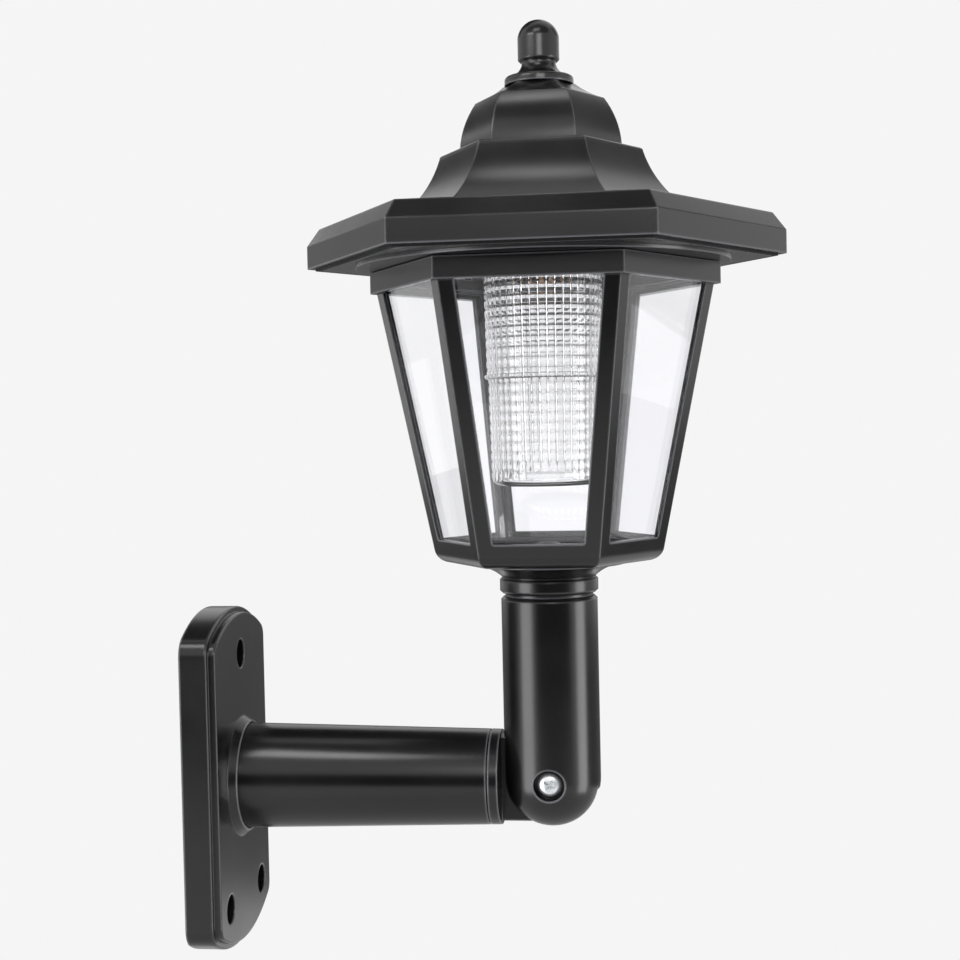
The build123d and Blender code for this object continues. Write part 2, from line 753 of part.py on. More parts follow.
def make_prism_tube():
    """Clear light cup in two ringed zones with a bead between, a rounded closed end and a top flange."""
    low = ring_z0 - cup_drop
    bead_z = low + cup_bead_rise
    bead_top = bead_z + cup_bead_height
    drop = ring_z0 - bead_top
    slope = (cup_top_r - cup_low_r) / cup_drop
    upper_r = cup_top_r - drop * slope
    lower_r = upper_r - cup_step
    bead_r = upper_r + cup_bead
    plain_z = ring_z0 - cup_plain_band
    plain_r = cup_top_r - cup_plain_band * slope
    corner = cup_corner_r * (1 - sin(radians(45)))
    bore_r = cup_low_r - cup_step - cup_wall
    end_r = cup_low_r - cup_step
    cup = turned(
        Line((0, low), (end_r - cup_corner_r, low)),
        ThreePointArc(
            (end_r - cup_corner_r, low), (end_r - corner, low + corner), (end_r, low + cup_corner_r),
        ),
        grooved((end_r, low + cup_corner_r), (lower_r, bead_z)),
        ThreePointArc((lower_r, bead_z), (bead_r, (bead_z + bead_top) / 2), (upper_r, bead_top)),
        grooved((upper_r, bead_top), (plain_r, plain_z)),
        Polyline(
            (plain_r, plain_z), (cup_top_r, ring_z0), (cup_top_r, plate_top_z), (cup_flange_r, plate_top_z),
            (cup_flange_r, flange_z), (cup_top_r - cup_wall, flange_z), (bore_r, low + cup_wall),
            (0, low + cup_wall), (0, low),
        ),
    )
    return LANTERN * cup


def make_led_board():
    """Circuit board that clamps the cup's flange."""
    outline = RectangleRounded(board_length, board_width, board_corner_r)
    board = extrude(Pos(0, 0, flange_z) * outline, board_thickness)
    for x, y in board_screw_places:
        board -= Pos(x, y, 0) * upright(tapper_hole_r, flange_z, board_z)
    return LANTERN * board


def make_leds():
    """Two dome lamps under the board."""
    rim_z = flange_z - lamp_rim_height
    low = rim_z - lamp_body
    lamp = upright(lamp_r + lamp_rim, rim_z, flange_z) + upright(lamp_r, low, rim_z)
    lamp += Pos(0, 0, low) * Sphere(lamp_r)
    return Compound(children=[LANTERN * Pos(side * lamp_offset, 0, 0) * lamp for side in (-1, 1)])


def make_board_screws():
    """Screws through the board into the underplate's bosses."""
    places = [Pos(x, y, board_z) * Rot(180, 0, 0) for x, y in board_screw_places]
    return Compound(children=[LANTERN * place * tapper(board_screw_length) for place in places])


def make_battery_tray():
    """Cradle on two feet, with end walls for the contacts."""
    half_width = battery_r + tray_side_gap + tray_side
    floor_top = tray_z + tray_floor
    floor = Box(2 * half_width, tray_length, tray_floor, align=(Align.CENTER, Align.CENTER, Align.MIN))
    tray = Pos(0, 0, tray_z) * floor
    side_wall = Box(tray_side, tray_length, tray_side_height, align=(Align.CENTER, Align.CENTER, Align.MIN))
    end_wall = Box(2 * half_width, tray_end, tray_end_height, align=(Align.CENTER, Align.CENTER, Align.MIN))
    foot = Box(tray_foot_width, tray_foot, tray_lift, align=(Align.CENTER, Align.CENTER, Align.MIN))
    for side in (-1, 1):
        tray += Pos(side * (half_width - tray_side / 2), 0, floor_top) * side_wall
        tray += Pos(0, side * (tray_end_y + tray_end / 2), floor_top) * end_wall
    for x, y in tray_screw_places:
        tray += Pos(x, y, plate_top_z) * foot
        tray -= Pos(x, y, 0) * upright(tapper_r + pilot_gap, plate_top_z, floor_top)
    return LANTERN * tray


def make_tray_screws():
    """Screws from below into the tray's feet."""
    length = plate_top_z - ring_z0 - screw_recess + tray_lift
    places = [Pos(x, y, ring_z0 + screw_recess) for x, y in tray_screw_places]
    return Compound(children=[LANTERN * place * tapper(length) for place in places])


def make_battery():
    """Rechargeable round cell lying across the lantern, with its positive nub."""
    body_length = battery_length - battery_nub
    cell = upright(battery_r, -battery_length / 2, -battery_length / 2 + body_length)
    cell += upright(battery_nub_r, battery_length / 2 - battery_nub, battery_length / 2)
    return LANTERN * Pos(0, 0, battery_z) * OUT_FROM_WALL * cell


def make_battery_contacts():
    """Leaf contacts between the cell's ends and the tray's end walls."""
    leaf = Box(contact_size, contact_thickness, contact_size)
    middle = battery_length / 2 + contact_thickness / 2
    return Compound(children=[LANTERN * Pos(0, side * middle, battery_z) * leaf for side in (-1, 1)])


def make_solar_panel():
    """Solar cell plate, flush in its tray on the roof deck."""
    plate = Box(panel_length, panel_width, panel_thickness)
    return LANTERN * (deck_plane() * (Pos(0, 0, -panel_thickness / 2) * plate))


def make_switch_body():
    """Slide switch housing with the pocket that its slider runs in."""
    body = Pos(0, 0, switch_height / 2) * Box(switch_length, switch_width, switch_height)
    pocket_length = slider_length + switch_travel + 2 * switch_gap
    pocket = Box(pocket_length, slider_width + 2 * switch_gap, 2 * (slider_height + 2 * switch_gap))
    return LANTERN * Pos(switch_x, switch_y, plate_top_z) * (body - pocket)


def make_switch_knob():
    """Slider and stem, at the off end of the slot."""
    slider = Pos(0, 0, switch_gap + slider_height / 2) * Box(slider_length, slider_width, slider_height)
    drop = plate_top_z - ring_z0 + stem_reach
    stem = Pos(0, 0, (switch_gap - drop) / 2) * Box(stem_length, stem_width, drop + switch_gap)
    return LANTERN * Pos(switch_x - switch_travel / 2, switch_y, plate_top_z) * (slider + stem)


nodes = {
    "wall_plate": make_wall_plate(),
    "arm": make_arm(),
    "arm_screws": make_arm_screws(),
    "post": make_post(),
    "elbow_screw": make_elbow_screw(),
    "elbow_nut": make_elbow_nut(),
    "lantern_base": make_lantern_base(),
    "base_screw": make_base_screw(),
    "cage_frame": make_cage_frame(),
    "roof_shell": make_roof_shell(),
    "finial": make_finial(),
    "finial_screw": make_finial_screw(),
    "roof_gasket": make_roof_gasket(),
    "roof_underplate": make_roof_underplate(),
    "underplate_screws": make_underplate_screws(),
    "prism_tube": make_prism_tube(),
    "led_board": make_led_board(),
    "leds": make_leds(),
    "board_screws": make_board_screws(),
    "battery_tray": make_battery_tray(),
    "tray_screws": make_tray_screws(),
    "battery": make_battery(),
    "battery_contacts": make_battery_contacts(),
    "solar_panel": make_solar_panel(),
    "switch_body": make_switch_body(),
    "switch_knob": make_switch_knob(),
}
for index, angle in enumerate(FACES):
    nodes[f"pane_{index + 1}"] = make_pane(angle)

os.makedirs("parts", exist_ok=True)
for name, solid in nodes.items():
    export_step(solid, f"parts/{name}.step")
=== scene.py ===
"""Looks of the solar wall lantern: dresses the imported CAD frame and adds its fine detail, in metres."""

import json
import logging
import math
from dataclasses import dataclass, field
from enum import Enum
from typing import Any, ClassVar

import bmesh
import bpy
from mathutils import Matrix, Vector

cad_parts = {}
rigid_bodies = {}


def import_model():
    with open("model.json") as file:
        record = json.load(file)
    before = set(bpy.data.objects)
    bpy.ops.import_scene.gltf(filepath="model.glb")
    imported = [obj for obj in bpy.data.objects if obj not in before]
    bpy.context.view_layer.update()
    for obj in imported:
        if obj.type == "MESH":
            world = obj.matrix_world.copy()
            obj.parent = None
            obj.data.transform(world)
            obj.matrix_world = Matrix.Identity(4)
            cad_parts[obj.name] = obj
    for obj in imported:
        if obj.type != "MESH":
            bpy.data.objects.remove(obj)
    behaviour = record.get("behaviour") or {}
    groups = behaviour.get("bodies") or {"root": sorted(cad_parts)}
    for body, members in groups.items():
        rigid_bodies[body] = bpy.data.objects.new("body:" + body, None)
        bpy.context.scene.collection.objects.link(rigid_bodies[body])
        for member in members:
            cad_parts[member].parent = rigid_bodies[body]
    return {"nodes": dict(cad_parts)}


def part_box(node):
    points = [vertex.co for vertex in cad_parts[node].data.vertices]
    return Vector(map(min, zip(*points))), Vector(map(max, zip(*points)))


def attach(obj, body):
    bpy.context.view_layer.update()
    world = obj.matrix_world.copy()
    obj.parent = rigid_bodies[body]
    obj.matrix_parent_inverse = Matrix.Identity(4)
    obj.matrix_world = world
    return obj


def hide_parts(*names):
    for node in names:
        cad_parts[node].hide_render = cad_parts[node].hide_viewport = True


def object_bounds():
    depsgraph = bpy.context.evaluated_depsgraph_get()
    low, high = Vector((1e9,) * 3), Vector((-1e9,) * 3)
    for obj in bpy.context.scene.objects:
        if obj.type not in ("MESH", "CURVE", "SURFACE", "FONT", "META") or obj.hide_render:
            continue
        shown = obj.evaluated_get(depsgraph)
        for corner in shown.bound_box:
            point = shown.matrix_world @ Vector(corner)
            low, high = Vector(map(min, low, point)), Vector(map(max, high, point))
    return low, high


for leftover in list(bpy.data.objects):
    bpy.data.objects.remove(leftover)
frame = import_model()
CAD_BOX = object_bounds()

LOG = logging.getLogger("wall_lantern")
MM = 0.001
FULL_TURN = 2 * math.pi
WHITE = "#ffffff"
WELD = 0.001 * MM
CAP_CORNERS = 6
MATH = "ShaderNodeMath"
VECTOR_MATH = "ShaderNodeVectorMath"
COMBINE = "ShaderNodeCombineXYZ"
FLOAT = "NodeSocketFloat"


class Body(Enum):
    """The moving bodies that carry new pieces."""

    BRACKET = "bracket"
    POST = "post"
    LANTERN = "lantern"
    ROOF = "roof"


class Slot(Enum):
    """Names of the record's material slots, given with new pieces."""

    ZINC_STEEL = "zinc_steel"
    BLACK_STEEL = "black_steel"
    CLEAR_CUP = "clear_cup"


class Pattern(Enum):
    """A skin's pattern, as the node that makes it and that node's own settings."""

    CLOUDS = ("ShaderNodeTexNoise", {})
    CELLS = ("ShaderNodeTexVoronoi", {})
    TRACKS = ("ShaderNodeTexVoronoi", {"distance": "CHEBYCHEV"})


def linear(hex_colour: str) -> tuple[float, float, float, float]:
    """Turns an sRGB hex colour to linear light.

    Args:
        hex_colour: six hex digits after a hash sign.

    Returns:
        Red, green and blue in linear light, with an alpha of 1.
    """
    channels = [int(hex_colour[place:place + 2], 16) / 255 for place in (1, 3, 5)]
    red, green, blue = [c / 12.92 if c <= 0.04045 else ((c + 0.055) / 1.055) ** 2.4 for c in channels]
    return red, green, blue, 1.0


def feed(tree: bpy.types.NodeTree, node: bpy.types.Node, inputs: dict) -> None:
    """Sets a node's inputs.

    Args:
        tree: the node's tree.
        node: the node.
        inputs: what each input takes, by its name or place: a value, an output socket, or a node, which gives
            its first output.
    """
    for key, value in inputs.items():
        if isinstance(value, bpy.types.Node):
            value = next(output for output in value.outputs if output.enabled)
        if isinstance(value, bpy.types.NodeSocket):
            tree.links.new(value, node.inputs[key])
        else:
            node.inputs[key].default_value = value


def add_node(
    tree: bpy.types.NodeTree, kind: str, inputs: dict | None = None, stops: tuple = (), **settings: Any
) -> bpy.types.Node:
    """Adds a node with its settings and its inputs.

    Args:
        tree: the tree that the node joins.
        kind: the node's type name.
        inputs: what each input takes, as feed has it.
        stops: place and hex colour of each stop, where the node has a colour ramp.
        settings: the node's own properties.

    Returns:
        The new node.
    """
    node = tree.nodes.new(kind)
    for name, value in settings.items():
        setattr(node, name, value)
    for spot, (share, colour) in enumerate(stops):
        node.color_ramp.elements[spot].position = share
        node.color_ramp.elements[spot].color = linear(colour)
    feed(tree, node, inputs or {})
    return node


def empty_material(name: str) -> bpy.types.Material:
    """Starts a material with an empty tree.

    Args:
        name: the material's name.

    Returns:
        The material.
    """
    material = bpy.data.materials.new(name)
    material.use_nodes = True
    material.node_tree.nodes.clear()
    return material


@dataclass(frozen=True)
class Finish:
    """A finish that a piece can take. Each kind fills in the Principled shader."""

    name: str

    def material(self) -> bpy.types.Material:
        """Gives the finish as a material, made at its first use.

        Returns:
            The material.
        """
        made = bpy.data.materials.get(self.name)
        if made is None:
            made = empty_material(self.name)
            tree = made.node_tree
            shader = add_node(tree, "ShaderNodeBsdfPrincipled")
            add_node(tree, "ShaderNodeOutputMaterial", {"Surface": shader})
            self.fill(tree, shader)
        return made

    def fill(self, tree: bpy.types.NodeTree, shader: bpy.types.Node) -> None:
        """Adds the finish's nodes to a tree.

        Args:
            tree: the material's tree.
            shader: its Principled shader.
        """
        raise NotImplementedError


@dataclass(frozen=True)
class MottledSkin(Finish):
    """A skin of two close colours over a pattern of a real size, which may also dull and raise it."""

    colours: tuple[str, str]
    stops: tuple[float, float]
    size_mm: float
    roughness: float
    pattern: Pattern = Pattern.CLOUDS
    detail: float = 2.0
    stretch: tuple[float, float, float] | None = None
    unevenness: float = 0.0
    uneven_from: float = 0.3
    uneven_to: float = 0.7
    relief_mm: float = 0.0
    relief_strength: float = 0.3
    metallic: float = 0.0
    ior: float = 1.5
    transmission: float = 0.0

    def fill(self, tree: bpy.types.NodeTree, shader: bpy.types.Node) -> None:
        """Adds the pattern and what follows it: colour, dullness and relief.

        Args:
            tree: the material's tree.
            shader: its Principled shader.
        """
        place = add_node(tree, "ShaderNodeTexCoord").outputs["Object"]
        if self.stretch is not None:
            place = add_node(tree, "ShaderNodeMapping", {"Vector": place, "Scale": self.stretch})
        kind, settings = self.pattern.value
        pattern = add_node(
            tree, kind, {"Vector": place, "Scale": 1 / (self.size_mm * MM), "Detail": self.detail}, **settings
        )
        colour = add_node(
            tree, "ShaderNodeValToRGB", {"Fac": pattern}, tuple(zip(self.stops, self.colours))
        )
        feed(tree, shader, {
            "Base Color": colour, "Roughness": self.roughness, "Metallic": self.metallic, "IOR": self.ior,
            "Transmission Weight": self.transmission,
        })
        if self.unevenness > 0:
            spread = add_node(tree, "ShaderNodeMapRange", {
                "Value": pattern, "From Min": self.uneven_from, "From Max": self.uneven_to,
                "To Min": self.roughness - self.unevenness, "To Max": self.roughness + self.unevenness,
            })
            feed(tree, shader, {"Roughness": spread})
        if self.relief_mm > 0:
            bump = add_node(tree, "ShaderNodeBump", {
                "Strength": self.relief_strength, "Distance": self.relief_mm * MM, "Height": pattern,
            })
            feed(tree, shader, {"Normal": bump})


@dataclass(frozen=True)
class MouldedAbs(MottledSkin):
    """Charcoal ABS from a spark-eroded mould."""

    name: str = "satin charcoal ABS"
    colours: tuple[str, str] = ("#0c0c0d", "#121213")
    stops: tuple[float, float] = (0.35, 0.7)
    size_mm: float = 28.0
    roughness: float = 0.23
    detail: float = 3.0
    unevenness: float = 0.03
    grain_mm: float = 0.7
    grain_detail: float = 4.0
    grain_height_mm: float = 0.012
    grain_strength: float = 0.5
    edge_mm: float = 0.8
    # Colour of the painted highlight laid along outer edges.
    edge_highlight_colour: str = "#606064"
    edge_full: float = 0.6
    edge_none: float = 0.9
    edge_samples: int = 8
    round_samples: int = 6

    def fill(self, tree: bpy.types.NodeTree, shader: bpy.types.Node) -> None:
        """Adds a fine leathery grain over the faint bloom, and a painted highlight, a pale colour laid along
        outer edges.

        Args:
            tree: the material's tree.
            shader: its Principled shader.
        """
        super().fill(tree, shader)
        bloom = shader.inputs["Base Color"].links[0].from_socket
        # Painted highlight: outer edges hide part of the solid behind them, so they show in the shade within
        # it, and there a pale colour is laid.
        within = add_node(
            tree, "ShaderNodeAmbientOcclusion", {"Distance": self.edge_mm * MM}, samples=self.edge_samples,
            inside=True, only_local=True,
        )
        painted_highlight = add_node(tree, "ShaderNodeMapRange", {
            "Value": within.outputs["AO"], "From Min": self.edge_full, "From Max": self.edge_none,
            "To Min": 1.0, "To Max": 0.0,
        })
        skin = add_node(
            tree, "ShaderNodeMix", {"Factor": painted_highlight, "A": bloom, "B": linear(self.edge_highlight_colour)},
            data_type="RGBA",
        )
        # The real grain is about 0.1 mm, too fine to show, so it is drawn at the size that still shows.
        place = add_node(tree, "ShaderNodeTexCoord").outputs["Object"]
        grain = add_node(
            tree, "ShaderNodeTexNoise",
            {"Vector": place, "Scale": 1 / (self.grain_mm * MM), "Detail": self.grain_detail},
        )
        edge = add_node(
            tree, "ShaderNodeBevel", {"Radius": self.edge_mm * MM}, samples=self.round_samples
        )
        bump = add_node(tree, "ShaderNodeBump", {
            "Strength": self.grain_strength, "Distance": self.grain_height_mm * MM, "Height": grain,
            "Normal": edge,
        })
        feed(tree, shader, {"Base Color": skin, "Normal": bump})


@dataclass(frozen=True)
class PlatedSteel(MottledSkin):
    """Steel with a thin plating, bright on its crests and duller where the plating lies thick."""

    stops: tuple[float, float] = (0.4, 0.75)
    size_mm: float = 1.1
    roughness: float = 0.36
    detail: float = 3.0
    unevenness: float = 0.06
    metallic: float = 0.8


@dataclass(frozen=True)
class ClearPlastic(Finish):
    """Clear moulded sheet or cup, with the slow ripple of a cooled moulding."""

    tint: str = WHITE
    ior: float = 1.49
    roughness: float = 0.015
    ripple_mm: float = 16.0
    ripple_detail: float = 1.0
    ripple_height_mm: float = 0.01
    ripple_strength: float = 0.4

    def fill(self, tree: bpy.types.NodeTree, shader: bpy.types.Node) -> None:
        """Adds clear refraction whose reflections wander a little over the ripple.

        Args:
            tree: the material's tree.
            shader: its Principled shader.
        """
        place = add_node(tree, "ShaderNodeTexCoord").outputs["Object"]
        ripple = add_node(
            tree, "ShaderNodeTexNoise",
            {"Vector": place, "Scale": 1 / (self.ripple_mm * MM), "Detail": self.ripple_detail},
        )
        bump = add_node(tree, "ShaderNodeBump", {
            "Strength": self.ripple_strength, "Distance": self.ripple_height_mm * MM, "Height": ripple,
        })
        feed(tree, shader, {
            "Base Color": linear(self.tint), "Roughness": self.roughness, "IOR": self.ior,
            "Transmission Weight": 1.0, "Normal": bump,
        })


@dataclass(frozen=True)
class SiliconCell(Finish):
    """Blue-black silicon with printed silver lines, under poured epoxy."""

    name: str = "silicon cell under clear epoxy"
    colour: str = "#0a1026"
    facet: str = "#16234a"
    stops: tuple[float, float] = (0.2, 0.8)
    silver: str = "#b9bdc2"
    roughness: float = 0.35
    coat_roughness: float = 0.06
    crystal_mm: float = 4.0
    middle: tuple[float, float, float] = (0.0242, -0.1493, 0.1695)
    turn_deg: float = 30.0
    finger_pitch_mm: float = 2.0
    finger_mm: float = 0.16
    bus_pitch_mm: float = 6.0
    bus_mm: float = 0.7

    def fill(self, tree: bpy.types.NodeTree, shader: bpy.types.Node) -> None:
        """Adds crystal flakes of slightly different blue and a grid of silver lines under a wet-looking coat.

        Args:
            tree: the material's tree.
            shader: its Principled shader.
        """
        place = add_node(tree, "ShaderNodeTexCoord").outputs["Object"]
        crystal = add_node(
            tree, "ShaderNodeTexVoronoi", {"Vector": place, "Scale": 1 / (self.crystal_mm * MM)}
        )
        blue = add_node(
            tree, "ShaderNodeValToRGB", {"Fac": crystal.outputs["Color"]},
            tuple(zip(self.stops, (self.colour, self.facet))),
        )
        along = add_node(
            tree, "ShaderNodeMapping",
            {"Vector": place, "Location": self.middle, "Rotation": (0.0, 0.0, math.radians(self.turn_deg))},
            vector_type="TEXTURE",
        )
        axes = add_node(tree, "ShaderNodeSeparateXYZ", {"Vector": along}).outputs
        lines = []
        for axis, pitch, width in (
            ("X", self.finger_pitch_mm, self.finger_mm), ("Y", self.bus_pitch_mm, self.bus_mm),
        ):
            near = add_node(tree, MATH, {0: axes[axis], 1: pitch / 2 * MM}, operation="PINGPONG")
            lines.append(add_node(tree, MATH, {0: near, 1: width / 2 * MM}, operation="LESS_THAN"))
        grid = add_node(tree, MATH, {0: lines[0], 1: lines[1]}, operation="MAXIMUM")
        face = add_node(
            tree, "ShaderNodeMix", {"Factor": grid, "A": blue, "B": linear(self.silver)}, data_type="RGBA"
        )
        feed(tree, shader, {
            "Base Color": face, "Metallic": grid, "Roughness": self.roughness, "Coat Weight": 1.0,
            "Coat Roughness": self.coat_roughness,
        })


# Spark-eroded moulding: near black with a soft sheen, a faint bloom and a pale painted highlight along its
# edges.
PLASTIC = MouldedAbs()
# Extruded sheet: clear and almost colourless, with a slow ripple in what it mirrors.
PANE = ClearPlastic(name="clear acrylic sheet", tint="#fdfdff", ior=1.49)
# Polished moulding: clear and bright, so that its lenses break up what lies behind.
CUP = ClearPlastic(name="clear moulded styrene", ior=1.52, roughness=0.008, ripple_mm=9.0)
# Zinc plating: pale silver with small crystals.
ZINC = PlatedSteel(name="bright zinc-plated steel", colours=("#f4f6f8", "#d4d8dc"))
# Black oxide: dark grey metal with a soft shine.
OXIDE = PlatedSteel(
    name="black-oxide steel", colours=("#2a2a2c", "#161617"), size_mm=0.8, roughness=0.38, unevenness=0.08,
    metallic=1.0,
)
# Tin plating: warm grey metal with a clean shine.
TIN = PlatedSteel(name="tinned steel", colours=("#c8c9c6", "#a5a6a2"), roughness=0.3)
# Foam cut from sheet: dead matt black with small open pores.
FOAM = MottledSkin(
    name="black closed-cell foam", colours=("#0b0b0c", "#161617"), stops=(0.1, 0.6), size_mm=0.5,
    roughness=0.95, pattern=Pattern.CELLS, detail=0.0, relief_mm=0.125, relief_strength=0.6,
)
# Printed resist over etched copper: a pale glossy coat that stands up a little over square-cornered tracks.
RESIST = MottledSkin(
    name="white solder resist on glass-fibre board", colours=("#e4e6e2", "#cfd3cc"), stops=(0.3, 0.36),
    size_mm=3.0, roughness=0.3, pattern=Pattern.TRACKS, detail=0.0, relief_mm=0.035, relief_strength=0.5,
)
# Cast dome: half-clear amber with clouds of its warm heart.
EPOXY = MottledSkin(
    name="amber cast epoxy", colours=("#e98a1e", "#f7c878"), stops=(0.35, 0.65), size_mm=1.6, roughness=0.12,
    ior=1.53, transmission=0.35,
)
# Heat-shrunk film: glossy green with faint stretch marks along the cell.
SLEEVE = MottledSkin(
    name="green shrunk PVC sleeve", colours=("#1f6b3a", "#2a7d47"), stops=(0.4, 0.7), size_mm=5.0,
    roughness=0.28, stretch=(1.0, 0.15, 1.0), relief_mm=0.05,
)
# Moulded nylon: waxy black with a fine grain.
NYLON = MottledSkin(
    name="black moulded nylon", colours=("#141414", "#1c1c1c"), stops=(0.4, 0.6), size_mm=0.4, roughness=0.45,
    relief_mm=0.01,
)
# Crystalline cell in poured epoxy: deep blue flakes and silver lines that look wet.
CELL = SiliconCell()


def dress(finish: Finish, *nodes: str) -> None:
    """Gives CAD nodes a finish.

    Args:
        finish: what they are made of.
        nodes: the nodes' names.
    """
    for name in nodes:
        for slot in frame["nodes"][name].material_slots:
            slot.material = finish.material()
        LOG.info("dressed %s in %s", name, finish.name)


def seat(piece: bpy.types.Object, body: Body, slot: Slot, *replaced: str) -> None:
    """Fixes a finished piece to its body.

    Args:
        piece: the piece, with its place in its mesh.
        body: the body that carries it.
        slot: the record's slot of its finish; not used.
        replaced: CAD nodes that it stands for.
    """
    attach(piece, body.value)
    if replaced:
        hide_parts(*replaced)
    LOG.info("built %s on %s", piece.name, body.value)


def smooth(mesh: bpy.types.Mesh, degrees: float) -> None:
    """Shades a mesh smooth, apart from edges that turn more than an angle and the caps of bars.

    Args:
        mesh: the mesh.
        degrees: the least turn of a sharp edge.
    """
    mesh.polygons.foreach_set("use_smooth", [True] * len(mesh.polygons))
    mesh.set_sharp_from_angle(angle=math.radians(degrees))
    for face in mesh.polygons:
        face.use_smooth = len(face.vertices) <= CAP_CORNERS


def new_tree(name: str, **inputs: str) -> tuple[bpy.types.NodeTree, bpy.types.Node]:
    """Starts a geometry tree.

    Args:
        name: the tree's name.
        inputs: socket type of each named input after the geometry.

    Returns:
        The tree and its input node.
    """
    tree = bpy.data.node_groups.new(name, "GeometryNodeTree")
    tree.interface.new_socket("Geometry", in_out="OUTPUT", socket_type="NodeSocketGeometry")
    tree.interface.new_socket("Geometry", in_out="INPUT", socket_type="NodeSocketGeometry")
    for label, kind in inputs.items():
        tree.interface.new_socket(label, in_out="INPUT", socket_type=kind)
    return tree, add_node(tree, "NodeGroupInput")


def close_tree(tree: bpy.types.NodeTree, geometry: bpy.types.Node, finish: bpy.types.NodeSocket) -> None:
    """Ends a geometry tree in real geometry with its material.

    Args:
        tree: the tree.
        geometry: the node that has made it.
        finish: the material input.
    """
    real = add_node(tree, "GeometryNodeRealizeInstances", {"Geometry": geometry})
    dressed = add_node(tree, "GeometryNodeSetMaterial", {"Geometry": real, "Material": finish})
    add_node(tree, "NodeGroupOutput", {"Geometry": dressed})


def grow(name: str, seed: bpy.types.Mesh, tree: bpy.types.NodeTree, **values: Any) -> bpy.types.Object:
    """Runs a geometry tree on a seed mesh and keeps the result as a plain mesh.

    Args:
        name: the new piece's name.
        seed: mesh that the tree starts from.
        tree: the tree.
        values: a value for each named input.

    Returns:
        The new piece, linked to the scene.
    """
    carrier = bpy.data.objects.new(name + "_seed", seed)
    bpy.context.scene.collection.objects.link(carrier)
    modifier = carrier.modifiers.new("grow", "NODES")
    modifier.node_group = tree
    sockets = {
        item.name: item.identifier
        for item in tree.interface.items_tree
        if item.item_type == "SOCKET" and item.in_out == "INPUT"
    }
    for label, value in values.items():
        modifier[sockets[label]] = value
    depsgraph = bpy.context.evaluated_depsgraph_get()
    mesh = bpy.data.meshes.new_from_object(carrier.evaluated_get(depsgraph), depsgraph=depsgraph)
    mesh.name = name
    carrier.modifiers.remove(modifier)
    bpy.data.objects.remove(carrier)
    piece = bpy.data.objects.new(name, mesh)
    bpy.context.scene.collection.objects.link(piece)
    return piece


def part_boxes(node: str) -> list[tuple[Vector, Vector]]:
    """Boxes of the separate solids in one CAD node.

    Args:
        node: the node's name.

    Returns:
        Lowest and highest corner of each solid, in order along Y and then X.
    """
    mesh = bmesh.new()
    mesh.from_mesh(frame["nodes"][node].data)
    bmesh.ops.remove_doubles(mesh, verts=mesh.verts, dist=WELD)
    waiting = set(mesh.verts)
    boxes = []
    while waiting:
        group = {waiting.pop()}
        rim = list(group)
        while rim:
            vert = rim.pop()
            near = {link.other_vert(vert) for link in vert.link_edges} - group
            group |= near
            rim.extend(near)
        waiting -= group
        points = [vert.co for vert in group]
        low = Vector([min(point[axis] for point in points) for axis in range(3)])
        high = Vector([max(point[axis] for point in points) for axis in range(3)])
        boxes.append((low, high))
    mesh.free()
    return sorted(boxes, key=lambda box: (round(box[0].y, 5), round(box[0].x, 5)))


